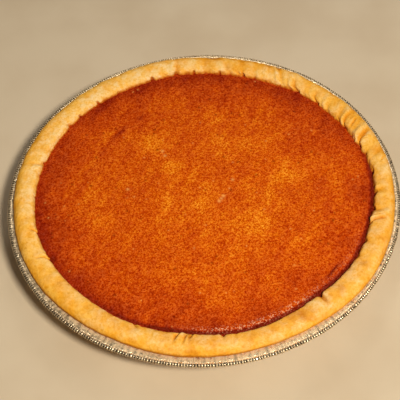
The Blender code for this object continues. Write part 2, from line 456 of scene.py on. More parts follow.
def paint(code: str) -> Colour:
    """Linear colour from a display colour such as D45A0A."""
    parts = [int(code[i:i + 2], 16) / 255 for i in (0, 2, 4)]
    return tuple(c / 12.92 if c <= 0.04045 else ((c + 0.055) / 1.055) ** 2.4 for c in parts)


class Coat:
    """A material under construction: short ways to add shader nodes and to join them."""

    def __init__(self, name: str) -> None:
        """Starts a material that holds one Principled shader.

        Args:
            name: the material's name.
        """
        self.material = bpy.data.materials.new(name)
        self.material.use_nodes = True
        self.nodes = self.material.node_tree.nodes
        self.shader = self.nodes["Principled BSDF"]
        self.place = self.nodes.new("ShaderNodeTexCoord").outputs["Object"]

    def join(self, value: Value | Colour, socket: Socket) -> None:
        """Feeds a socket.

        Args:
            value: the socket to link to it, or the number or colour to set it to.
            socket: the socket that is fed.
        """
        if isinstance(value, bpy.types.NodeSocket):
            self.material.node_tree.links.new(value, socket)
        elif isinstance(value, tuple):
            socket.default_value = (*value, 1.0)
        else:
            socket.default_value = value

    def mark(self, mark: Mark) -> Socket:
        """What the mesh tells the finish.

        Args:
            mark: which mark is read.

        Returns:
            Its value at each point.
        """
        node = self.nodes.new("ShaderNodeAttribute")
        node.attribute_name = mark.value
        return node.outputs["Fac"]

    def grain(self, size: float, detail: float, rough: float, seed: float) -> Socket:
        """Noise in space between 0 and 1.

        Args:
            size: about the distance from one bump to the next, in metres.
            detail: how many finer layers it has.
            rough: how strong those are.
            seed: picks the pattern.

        Returns:
            The noise's value.
        """
        node = self.nodes.new("ShaderNodeTexNoise")
        node.noise_dimensions = "4D"
        self.join(self.place, node.inputs["Vector"])
        node.inputs["W"].default_value = seed
        node.inputs["Scale"].default_value = 1 / size
        node.inputs["Detail"].default_value = detail
        node.inputs["Roughness"].default_value = rough
        return node.outputs["Fac"]

    def sum(self, operation: Sum, first: Value, second: Value, clamp: bool = False) -> Socket:
        """One sum of two values.

        Args:
            operation: which sum.
            first: the first value.
            second: the second.
            clamp: whether the result is kept between 0 and 1.

        Returns:
            The result.
        """
        node = self.nodes.new("ShaderNodeMath")
        node.operation = operation.name
        node.use_clamp = clamp
        self.join(first, node.inputs[0])
        self.join(second, node.inputs[1])
        return node.outputs[0]

    def spread(self, value: Socket, low: float, high: float, to_low: float = 0.0, to_high: float = 1.0) -> Socket:
        """Takes one range smoothly onto another.

        Args:
            value: what is taken over.
            low: the first range's lower end.
            high: its upper end.
            to_low: the result at the lower end and below it.
            to_high: the result at the upper end and above it.

        Returns:
            The result.
        """
        node = self.nodes.new("ShaderNodeMapRange")
        node.interpolation_type = "SMOOTHSTEP"
        self.join(value, node.inputs["Value"])
        for socket, limit in zip(("From Min", "From Max", "To Min", "To Max"), (low, high, to_low, to_high)):
            node.inputs[socket].default_value = limit
        return node.outputs["Result"]

    def mix(self, share: Value, first: Socket | Colour, second: Socket | Colour,
            blend: Blend = Blend.MIX) -> Socket:
        """Mixes two colours.

        Args:
            share: how much of the second colour shows, from 0 to 1.
            first: the colour underneath.
            second: the colour on top.
            blend: how they mix.

        Returns:
            The mixed colour.
        """
        node = self.nodes.new("ShaderNodeMix")
        node.data_type = "RGBA"
        node.blend_type = blend.name
        for value, socket in ((share, "Factor_Float"), (first, "A_Color"), (second, "B_Color")):
            self.join(value, next(found for found in node.inputs if found.identifier == socket))
        return next(found for found in node.outputs if found.identifier == "Result_Color")

    def ramp(self, value: Socket, stops: Sequence[tuple[float, Colour]]) -> Socket:
        """A run of colours.

        Args:
            value: where along the run each point lies, from 0 to 1.
            stops: (place, colour) pairs along it.

        Returns:
            The colour.
        """
        node = self.nodes.new("ShaderNodeValToRGB")
        self.join(value, node.inputs["Fac"])
        elements = node.color_ramp.elements
        while len(elements) < len(stops):
            elements.new(0.5)
        for element, (position, colour) in zip(elements, stops):
            element.position = position
            element.color = (*colour, 1.0)
        return node.outputs["Color"]

    def bumps(self, layers: Sequence[tuple[Socket, float, float]]) -> Socket:
        """Stacks bump layers.

        Args:
            layers: (height, depth in metres, strength) of each layer.

        Returns:
            The normal on top of them all.
        """
        normal = None
        for height, depth, strength in layers:
            node = self.nodes.new("ShaderNodeBump")
            node.inputs["Strength"].default_value = strength
            node.inputs["Distance"].default_value = depth
            self.join(height, node.inputs["Height"])
            if normal is not None:
                self.join(normal, node.inputs["Normal"])
            normal = node.outputs["Normal"]
        return normal

    def finish(self, **sockets: Value | Colour) -> bpy.types.Material:
        """Sets the shader's sockets.

        Args:
            sockets: a value for each, under the socket's name in small letters with _ for a space.

        Returns:
            The material.
        """
        for name, value in sockets.items():
            self.join(value, self.shader.inputs[name.replace("_", " ").title().replace("Ior", "IOR")])
        return self.material


@dataclass(frozen=True)
class PastryFinish:
    """Golden shortcrust, matt, with pale floury patches, and painted shade in its creases, on slopes turned from
    the lamp and along its outer edge. Its toast and floury marks carry some painted shade and light too.
    """

    gold: Colour = paint("FFBC44")
    deep_gold: Colour = paint("FAA922")
    toasted: Colour = paint("DA8414")
    # also the colour of the painted highlight on raised dough and of painted light on some slopes
    flour: Colour = paint("FFD388")
    crumb_low: Colour = (0.9, 0.82, 0.55)  # the crumb's darkest and lightest, as shares of the colour
    crumb_high: Colour = (1.04, 1.08, 1.35)
    # painted shade in creases and cracks, on slopes turned from the lamp and along the foot
    crease: Colour = paint("A0560F")
    syrup: Colour = paint("DE8A1C")
    stain: Colour = paint("C0600F")
    blotch_size: float = 10.0 * MM  # of the oven's uneven browning
    blotch_depth: float = 0.3
    patch_size: float = 7.0 * MM  # of the floury patches
    spill_size: float = 2.6 * MM
    sheen_size: float = 4.0 * MM
    cover: float = 0.85  # how fully the painted shade and the syrup hide the gold
    crumb_size: float = 1.3 * MM
    crumb_depth: float = 0.45 * MM
    flour_size: float = 0.5 * MM
    flour_depth: float = 0.15 * MM
    roughness: tuple[float, float] = (0.58, 0.78)
    shine: float = 0.14

    def make(self) -> bpy.types.Material:
        """Builds the material.

        Returns:
            The material, ready for a mesh.
        """
        coat = Coat("baked_pastry")
        blotch = coat.grain(self.blotch_size, detail=4.0, rough=0.6, seed=1.0)
        toast = coat.sum(Sum.ADD, coat.mark(Mark.TOAST),
                         coat.spread(blotch, 0.33, 0.67, -self.blotch_depth, self.blotch_depth), clamp=True)
        colour = coat.ramp(toast, ((0.0, self.gold), (0.5, self.deep_gold), (1.0, self.toasted)))
        patch = coat.grain(self.patch_size, detail=4.0, rough=0.62, seed=6.0)
        floury = coat.sum(Sum.MULTIPLY, coat.mark(Mark.BLOOM), coat.spread(patch, 0.4, 0.62, 0.2, 1.0), clamp=True)
        colour = coat.mix(floury, colour, self.flour)
        crumb = coat.grain(self.crumb_size, detail=3.0, rough=0.6, seed=2.0)
        tint = coat.ramp(coat.spread(crumb, 0.32, 0.68),
                         ((0.0, self.crumb_low), (0.5, WHITE), (1.0, self.crumb_high)))
        colour = coat.mix(1.0, colour, tint, Blend.MULTIPLY)
        colour = coat.mix(coat.sum(Sum.MULTIPLY, coat.mark(Mark.CREASE), self.cover), colour, self.crease)
        patchy = coat.spread(coat.grain(self.spill_size, detail=2.0, rough=0.5, seed=3.0), 0.32, 0.68, -0.25, 0.25)
        stain = coat.sum(Sum.ADD, coat.mark(Mark.STAIN), coat.sum(Sum.MULTIPLY, patchy, coat.mark(Mark.STAIN)))
        colour = coat.mix(coat.spread(stain, 0.1, 0.7, 0.0, self.cover), colour, self.syrup)
        colour = coat.mix(coat.spread(stain, 0.6, 1.05), colour, self.stain)
        rough = coat.spread(coat.grain(self.sheen_size, detail=2.0, rough=0.5, seed=4.0), 0.3, 0.7, *self.roughness)
        flour = coat.grain(self.flour_size, detail=2.0, rough=0.6, seed=5.0)
        normal = coat.bumps(((crumb, self.crumb_depth, 0.6), (flour, self.flour_depth, 0.5)))
        return coat.finish(base_color=colour, roughness=rough, normal=normal, specular_ior_level=self.shine)


@dataclass(frozen=True)
class FillingFinish:
    """Baked orange custard: a fine even grain, red-brown where the oven has darkened its edge, with painted shade
    along parts of that edge and painted glints on its glazed blisters.
    """

    glow: Colour = paint("EC7604")
    bright: Colour = paint("DA5A02")
    orange: Colour = paint("C84602")
    brown: Colour = paint("9A2702")
    dark: Colour = paint("701A02")
    pit: Colour = paint("6A1C02")
    fleck: Colour = paint("FBB05A")
    # painted glints: pale pink specks on the glazed blisters
    painted_glint: Colour = paint("F0A878")
    grain_low: Colour = (0.60, 0.28, 0.0)  # the grain's darkest and lightest, as shares of the colour
    # its blue is raised far, so the grain's lightest tops are partly painted glints
    grain_high_and_glint: Colour = (1.26, 2.1, 22.0)
    grain_size: float = 1.15 * MM
    grain_share: float = 0.6  # how much of the grain is the coarse one
    grain_depth: float = 0.7 * MM
    fine_size: float = 0.6 * MM
    fine_depth: float = 0.35 * MM
    cloud_size: float = 16.0 * MM
    cloud_depth: float = 0.08
    glint_size: float = 0.95 * MM
    roughness: tuple[float, float] = (0.55, 0.75)
    glaze_roughness: float = 0.16
    shine: float = 0.02

    def make(self) -> bpy.types.Material:
        """Builds the material.

        Returns:
            The material, ready for a mesh.
        """
        coat = Coat("baked_filling")
        cloud = coat.grain(self.cloud_size, detail=3.0, rough=0.55, seed=11.0)
        sear = coat.sum(Sum.ADD, coat.mark(Mark.SEAR),
                        coat.spread(cloud, 0.3, 0.7, self.cloud_depth, -self.cloud_depth), clamp=True)
        colour = coat.ramp(sear, ((0.0, self.glow), (0.2, self.bright), (0.4, self.orange),
                                  (0.75, self.brown), (1.0, self.dark)))
        grain = coat.grain(self.grain_size, detail=2.5, rough=0.65, seed=12.0)
        fine = coat.grain(self.fine_size, detail=2.0, rough=0.6, seed=13.0)
        both = coat.sum(Sum.ADD, coat.sum(Sum.MULTIPLY, grain, self.grain_share),
                        coat.sum(Sum.MULTIPLY, fine, 1 - self.grain_share))
        tint = coat.ramp(coat.spread(both, 0.37, 0.63),
                         ((0.0, self.grain_low), (0.5, WHITE), (1.0, self.grain_high_and_glint)))
        colour = coat.mix(1.0, colour, tint, Blend.MULTIPLY)
        colour = coat.mix(coat.mark(Mark.PIT), colour, self.pit)
        colour = coat.mix(coat.mark(Mark.FLECK), colour, self.fleck)
        # painted glints where the custard is glazed
        glint_spots = coat.spread(coat.grain(self.glint_size, detail=1.0, rough=0.5, seed=14.0), 0.53, 0.62)
        glaze = coat.sum(Sum.MULTIPLY, coat.mark(Mark.GLAZE), glint_spots, clamp=True)
        colour = coat.mix(glaze, colour, self.painted_glint)
        rough = coat.spread(fine, 0.3, 0.7, *self.roughness)
        normal = coat.bumps(((grain, self.grain_depth, 0.6), (fine, self.fine_depth, 0.6)))
        return coat.finish(base_color=colour, roughness=rough, normal=normal, specular_ior_level=self.shine,
                           coat_weight=glaze, coat_roughness=self.glaze_roughness)


@dataclass(frozen=True)
class FoilFinish:
    """Bright thin aluminium foil with the faint crackle of pressing. Its groove colour is painted shade in the
    crimps, the valley and round the sides, and its matt colour is a painted orange reflection of the pastry.
    """

    bright: Colour = (0.97, 0.81, 0.53)
    dull: Colour = (0.66, 0.5, 0.32)
    # painted reflection: the pastry's orange reflected in the matt foil
    matt: Colour = (0.94, 0.68, 0.37)
    # painted shade in the crimp grooves, the valley and round the sides
    groove: Colour = (0.05, 0.028, 0.012)
    matt_metal: float = 0.3
    roughness: tuple[float, float] = (0.08, 0.2)
    matt_roughness: float = 0.36
    crackle_size: float = 2.4 * MM
    crackle_depth: float = 0.22 * MM
    streak_size: float = 9.0 * MM
    streak_depth: float = 0.5 * MM

    def make(self) -> bpy.types.Material:
        """Builds the material.

        Returns:
            The material, ready for a mesh.
        """
        coat = Coat("pressed_foil")
        crackle = coat.grain(self.crackle_size, detail=3.0, rough=0.6, seed=21.0)
        streak = coat.grain(self.streak_size, detail=2.0, rough=0.5, seed=22.0)
        matt = coat.sum(Sum.MULTIPLY, coat.mark(Mark.MATT), coat.spread(crackle, 0.3, 0.55, 0.4, 1.0), clamp=True)
        colour = coat.mix(coat.spread(streak, 0.35, 0.7), self.bright, self.dull)
        colour = coat.mix(matt, colour, self.matt)
        colour = coat.mix(coat.mark(Mark.CREASE), colour, self.groove)
        rough = coat.sum(Sum.ADD, coat.spread(crackle, 0.3, 0.7, *self.roughness),
                         coat.sum(Sum.MULTIPLY, matt, self.matt_roughness - self.roughness[1]))
        metal = coat.spread(matt, 0.0, 1.0, 1.0, self.matt_metal)
        normal = coat.bumps(((streak, self.streak_depth, 0.3), (crackle, self.crackle_depth, 0.45)))
        return coat.finish(base_color=colour, roughness=rough, normal=normal, metallic=metal)


@dataclass(frozen=True)
class CounterFinish:
    """Plain pale counter, very slightly mottled."""

    light: Colour = paint("D8C3A2")
    shade: Colour = paint("CEB795")
    mottle_size: float = 60.0 * MM
    wear_size: float = 20.0 * MM
    roughness: tuple[float, float] = (0.55, 0.65)

    def make(self) -> bpy.types.Material:
        """Builds the material.

        Returns:
            The material, ready for a mesh.
        """
        coat = Coat("pale_counter")
        mottle = coat.grain(self.mottle_size, detail=3.0, rough=0.5, seed=31.0)
        colour = coat.mix(coat.spread(mottle, 0.3, 0.7), self.light, self.shade)
        wear = coat.grain(self.wear_size, detail=2.0, rough=0.5, seed=32.0)
        rough = coat.spread(wear, 0.3, 0.7, *self.roughness)
        return coat.finish(base_color=colour, roughness=rough)


# ---- The pan ----


@dataclass(frozen=True)
class PanForm:
    """Sizes of the pressed foil pan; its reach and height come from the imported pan."""

    radius: float
    flange_height: float
    foil: float = 0.6 * MM
    base_radius: float = 92.0 * MM
    wall_top_radius: float = 111.0 * MM
    base_corner: float = 5.0 * MM
    flange_bend: float = 2.0 * MM
    roll_radius: float = 1.5 * MM
    roll_drop: float = 0.9 * MM
    roll_clearance: float = 0.2 * MM  # from the flat flange's end to the rolled edge

    @classmethod
    def from_frame(cls) -> "PanForm":
        """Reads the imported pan's box."""
        _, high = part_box(Node.PAN.value)
        return cls(radius=high.x, flange_height=high.z - cls.roll_radius + cls.roll_drop)

    def flange_edge(self) -> Point:
        """Where the flat flange ends, just short of the rolled edge."""
        return self.radius - 2 * self.roll_radius - self.roll_clearance, self.flange_height

    def inside(self, corner_steps: int, bend_steps: int) -> list[Point]:
        """The pan's inner line from the base's rounded corner to the flange.

        Args:
            corner_steps: steps round the base's corner.
            bend_steps: steps round the bend into the flange.

        Returns:
            (radius, height) points.
        """
        middle, corner = (0.0, self.foil), (self.base_radius, self.foil)
        brim = (self.wall_top_radius, self.flange_height)
        flange_end = (self.radius - 2 * self.roll_radius, self.flange_height)
        return [*fillet(middle, corner, brim, self.base_corner, corner_steps),
                *fillet(corner, brim, flange_end, self.flange_bend, bend_steps)]


@dataclass
class FoilPan:
    """The pan with its crimped rolled edge, its pleated wall and two shallow beads pressed into its base."""

    form: PanForm
    crimps: int = 468
    samples: int = 6  # points to a crimp
    crimp_depth: tuple[float, float] = (0.35 * MM, 0.75 * MM)
    crimp_width: tuple[float, float] = (0.34, 0.46)  # half a groove's width, as a share of the pitch
    crimp_tilt: float = 0.25 * MM  # most that a crimp's face leans
    slack: float = 0.22 * MM  # depth of the slower dents that handling has left in the roll
    dents: tuple[Bumps, ...] = (Bumps(0.3, 7.0 * MM, 71), Bumps(0.35, 3.4 * MM, 73))
    roll_steps: int = 13
    wall_sides: int = 1120
    pleats: int = 150
    slow_pleats: int = 55
    drift_waves: tuple[int, ...] = (7, 17, 29)  # waves round the pan that the pleats wander with
    pleat_depth: float = 0.3 * MM
    ripple: Bumps = Bumps(1.0, 1.5 * MM, 72)
    ripple_depth: float = 0.2 * MM
    hidden_reach: float = 116.0 * MM  # the flange is plain within this radius, under the pastry
    valley: Point = (118.0 * MM, 119.6 * MM)  # radii between which the flange turns into the roll's valley
    matt: float = 0.85  # how far the flange has lost its shine and takes the painted reflection
    roll_matt: float = 0.6  # the same for the roll's upper face
    # where the foil's painted shade is strongest, and where it is eased
    dulled: Sector = Sector(-126.0, 34.0)
    less_painted_shade: Sector = Sector(-35.0, 34.0)
    base_sides: int = 240
    base_spacing: float = 3.0 * MM
    bead_radii: tuple[float, ...] = (52.0 * MM, 78.0 * MM)
    bead_width: float = 1.6 * MM
    bead_depth: float = 0.35 * MM
    bead_steps: tuple[float, ...] = (-1.0, -0.6, -0.3, 0.0, 0.3, 0.6, 1.0)  # in widths from its middle
    seed: int = 5

    def painted_side_shade(self, angle: Array) -> Array:
        """How much painted shade the foil takes at each angle: most at the sides and the front left, less at the
        front right.
        """
        sides = np.cos(angle) ** 2 * (1 - 0.6 * self.less_painted_shade.at(angle))
        return np.clip(sides + 0.55 * self.dulled.at(angle), 0, 1)

    def crimp_profile(self) -> tuple[Array, Array]:
        """The crimps of the rolled edge.

        Returns:
            How far in each point round the edge lies, in metres, and its painted shade, from 0 to 1, deepest in the
            grooves and round the sides.
        """
        draw = np.random.default_rng(self.seed)
        depth = draw.uniform(*self.crimp_depth, self.crimps)
        width = draw.uniform(*self.crimp_width, self.crimps)
        groove_at = draw.uniform(0.4, 0.6, self.crimps)
        lean = draw.uniform(-self.crimp_tilt, self.crimp_tilt, self.crimps)
        sunk = draw.uniform(0.0, self.crimp_tilt, self.crimps)
        steps = np.arange(self.crimps * self.samples)
        crimp, phase = steps // self.samples, (steps % self.samples + 0.5) / self.samples
        groove = np.clip(1 - np.abs(phase - groove_at[crimp]) / width[crimp], 0, 1)
        face = 0.6 * sunk[crimp] + 0.5 * self.crimp_tilt + 0.5 * lean[crimp] * (2 * phase - 1)
        angle = angles_of(len(steps))
        painted_side_shade, back = self.painted_side_shade(angle), np.clip(np.sin(angle), 0, 1) ** 2
        # painted shade: some whole crimps darkened round the sides, and the grooves darkened, less so at the back
        crimp_shade = draw.uniform(0.2, 0.8, self.crimps)[crimp] ** 2 * painted_side_shade
        dark = np.maximum(smooth_step(groove + 0.2 * painted_side_shade - 0.15 * back, 0.2, 0.7), crimp_shade)
        return face + depth[crimp] * groove, dark

    def pleat_profile(self, angle: Array) -> Array:
        """The pleats of the wall's foil.

        Args:
            angle: angles round the pan.

        Returns:
            How far out the foil is folded at each angle, between about -1 and 1.
        """
        draw = random.Random(self.seed)
        drift = sum(draw.uniform(0.4, 0.9) * np.sin(count * angle + draw.uniform(0, 2 * math.pi))
                    for count in self.drift_waves)
        fine = np.sin(self.pleats * angle + 2.2 * drift)
        return 0.7 * fine * np.abs(fine) ** 0.5 + 0.3 * np.sin(self.slow_pleats * angle + drift)

    def roll_rings(self) -> list[Ring]:
        """The rolled edge.

        Returns:
            Its rings from the flange's top round to its underside.
        """
        form = self.form
        pinch, dark = self.crimp_profile()
        angle = angles_of(len(pinch))
        centre = (form.radius - form.roll_radius, form.flange_height - form.roll_drop)
        start = math.pi - math.asin(form.roll_drop / form.roll_radius)
        end = -math.pi - math.asin((form.roll_drop - form.foil) / form.roll_radius)
        painted_side_shade = self.painted_side_shade(angle)
        dents = np.clip(0.5 + sum_of(self.dents, around(form.radius, angle, 0.0)), 0, 1)
        rings = []
        for turn in np.linspace(start, end, self.roll_steps):
            hold = math.sin(math.pi * (turn - start) / (end - start)) ** 0.5
            radius = form.roll_radius - hold * (pinch + self.slack * dents)
            matt = self.roll_matt * (1 - smooth_step(start - turn, 1.9, 3.2))
            # painted shade in the valley between the flange and the roll
            valley_shade = 0.36 * painted_side_shade * (1 - smooth_step(start - turn, 0.3, 1.3))
            rings.append(Ring(centre[0] + radius * math.cos(turn), centre[1] + radius * math.sin(turn),
                              {Mark.CREASE: np.maximum(hold ** 0.25 * dark, valley_shade),
                               Mark.MATT: np.full(len(angle), matt)}))
        return rings

    def flange_rings(self, line: Sequence[Point], outward: bool) -> list[Ring]:
        """Rings on the flange and the wall, with pleats that die out down the wall.

        Args:
            line: (radius, height) points.
            outward: whether the line runs out along the inside, or back in along the outside.

        Returns:
            One ring for each point, in the line's order.
        """
        form = self.form
        angle = angles_of(self.wall_sides)
        fold = self.pleat_profile(angle)
        ripple = self.ripple.at(around(form.radius, angle, 0.0))
        rings = []
        for radius, height in line:
            up = (height - form.base_corner) / (form.flange_height - form.base_corner)
            on_wall = math.sqrt(max(up, 0)) * (radius < form.wall_top_radius + form.flange_bend)
            on_flange = float(smooth_step(radius, form.wall_top_radius, form.wall_top_radius + 3 * MM))
            reach = self.pleat_depth * min(on_wall, 1.0) * (1 - on_flange) * (0.5 if outward else 1.0)
            hidden = outward and radius < self.hidden_reach
            lift = self.ripple_depth * on_flange * (0.5 * fold + ripple) * (0.0 if hidden else 1.0)
            marks = {}
            if outward:
                # painted shade along the flange's ripples and in the valley, most round the sides
                painted_side_shade = 0.4 * float(smooth_step(radius, *self.valley)) * self.painted_side_shade(angle)
                marks = {Mark.MATT: np.full(self.wall_sides, self.matt * on_flange),
                         Mark.CREASE: on_flange * np.clip(0.03 + painted_side_shade + 0.8 * ripple, 0, 0.6)}
            rings.append(Ring(radius + reach * (fold - 0.6), height + np.minimum(lift, self.ripple_depth), marks))
        return rings

    def base_rings(self) -> list[Ring]:
        """The underside of the base, with the pressed beads.

        Returns:
            Its rings from the base's corner to its middle.
        """
        radii = [*np.arange(self.form.base_radius - 1.5 * self.base_spacing, 2 * self.base_spacing,
                            -self.base_spacing)]
        for bead in self.bead_radii:
            radii += [bead + self.bead_width * step for step in self.bead_steps]
        rings = []
        for radius in sorted(radii, reverse=True):
            rise = sum(self.bead_depth * math.exp(-((radius - bead) / self.bead_width * 1.8) ** 2)
                       for bead in self.bead_radii)
            rings.append(Ring.level(radius, rise, self.base_sides))
        return rings

    def build(self) -> bpy.types.Object:
        """Makes the pan and dresses it.

        Returns:
            The pan.
        """
        form = self.form
        bend = form.inside(8, 5)
        plain = len(bend) - 1  # the wall's inside is plain up to here, as the pastry hides it
        inside = [*bend, form.flange_edge()]
        outside = [tuple(point) for point in offset(inside, -form.foil)[::-1]]
        rings = [Ring.level(radius, height, self.base_sides) for radius, height in inside[:plain]]
        rings += self.flange_rings(between(inside[plain:], 0.6 * MM), outward=True)
        rings += self.roll_rings()
        rings += self.flange_rings(between(outside, 2.5 * MM), outward=False)
        rings += self.base_rings()
        pan = Skin(rings, form.foil, 0.0).build("pan_of_pressed_foil")
        pan.data.materials.append(FoilFinish().make())
        return stand_for(pan, Node.PAN)


# ---- The pastry ----


@dataclass(frozen=True)
class Fold:
    """A fold, tear or crease in the rim.

    It runs from start to end, each an angle in degrees and a share of the rim's width, which is 0 at the outer
    edge and 1 at the filling. width is half its width and depth how far it sinks. crack is how far its bottom
    has split open. ridge is how much of its depth the dough beside it stands up, above 0 on the side of larger
    angles and below 0 on the other.
    """

    start: tuple[float, float]
    end: tuple[float, float]
    width: float
    depth: float
    crack: float = 0.0
    ridge: float = 0.5

    def across(self, angle: Array, share: Array, radius: float) -> Array:
        """Distance from the fold's line.

        Args:
            angle: angles round the pie.
            share: shares of the rim's width.
            radius: turns an angle into a distance.

        Returns:
            The distance in half widths, below 0 on the side of smaller angles.
        """
        along = np.clip((self.start[1] - share) / (self.start[1] - self.end[1]), -0.5, 1)
        line = np.radians(self.start[0] + (self.end[0] - self.start[0]) * along * (2 - along))
        return radius * turn_between(angle, line) / self.width

    def held(self, share: Array) -> Array:
        """How the fold runs out at its ends.

        Args:
            share: shares of the rim's width.

        Returns:
            How much of the fold's depth is left at each, from 0 to 1.
        """
        length = self.start[1] - self.end[1]
        far = smooth_step(share, self.end[1], self.end[1] + 0.75 * length)
        near = 1 - smooth_step(share, self.start[1] - 0.3 * length, self.start[1] + 0.1 * length)
        return far * (near if self.start[1] < 1 else 1.0)


def folds_of(*rows: tuple[float, ...]) -> tuple[Fold, ...]:
    """Folds from rows of plain numbers.

    Args:
        rows: the start's angle and share, the end's angle and share, half the width and the depth, both in mm,
            and where they aren't the usual ones the crack and the ridge.

    Returns:
        One fold for each row.
    """
    return tuple(Fold((a, b), (c, d), width * MM, depth * MM, *rest) for a, b, c, d, width, depth, *rest in rows)


@dataclass(frozen=True)
class RimForm:
    """The slow form of the pastry rim, which the filling's edge follows too."""

    seat: float  # underside of the pastry rim, on the flange
    outer: float = 118.2 * MM
    inner: float = 103.9 * MM
    height: float = 6.0 * MM
    foot_inset: float = 0.6 * MM  # the outer foot curls in under the edge
    foot_rise: float = 0.8 * MM
    profile: tuple[Point, ...] = ((0.05, 0.5), (0.2, 0.86), (0.45, 1.0), (0.87, 0.84))  # shares of width and height
    swell: float = 9.0 * MM  # how far down the wall the rim's extra thickness reaches
    lip_inset: float = 0.3 * MM
    lip_drop: float = 1.0 * MM
    fill_share: float = 0.36  # the filling meets the inner slope at this share of its height
    away: Sector = Sector(-30.0, 42.0, 4)  # where the filling has drawn away from the rim
    outer_waves: tuple[Wave, ...] = (Wave(1, 0.3 * MM, 0.45), Wave(2, 1.2 * MM, 1.8), Wave(3, 0.2 * MM, 0.5),
                                     Wave(5, 0.25 * MM, 4.7), Wave(6, 0.3 * MM, 4.7), Wave(7, 0.25 * MM, 0.75))
    inner_waves: tuple[Wave, ...] = (Wave(1, 0.9 * MM, 2.7), Wave(2, 1.3 * MM, 1.6), Wave(3, 0.45 * MM, 0.4),
                                     Wave(4, 0.53 * MM, 1.05), Wave(5, 0.2 * MM, 3.3), Wave(8, 0.32 * MM, 0.5),
                                     Wave(9, 0.3 * MM, 0.8))
    height_waves: tuple[Wave, ...] = (Wave(1, 0.3 * MM, 5.2), Wave(4, 0.3 * MM, 2.4), Wave(9, 0.25 * MM, 4.0),
                                      Wave(15, 0.15 * MM, 1.3))

    def outer_at(self, angle: Array) -> Array:
        """Radius of the rim's outer edge."""
        return self.outer + sum_of(self.outer_waves, angle)

    def inner_at(self, angle: Array) -> Array:
        """Radius of the rim where the filling meets it."""
        return self.inner + sum_of(self.inner_waves, angle)

    def height_at(self, angle: Array) -> Array:
        """Height of the rim's crest above its seat."""
        return self.height + sum_of(self.height_waves, angle)


class Effect(Enum):
    """What baking, painted shade and painted light do to the rim, by the names of Baking's fields."""

    BROWNED = "browned"
    FLOURED = "floured"
    DULLED = "dulled"


@dataclass(frozen=True)
class Baking:
    """How the rim has baked at one angle, in degrees, on its outer side, its crest and its inner slope; its
    browning also holds painted shade, its flouring painted light, and its last field is painted shade alone.
    """

    angle: float
    browned: tuple[float, float, float]
    floured: tuple[float, float, float]
    dulled: tuple[float, float, float]


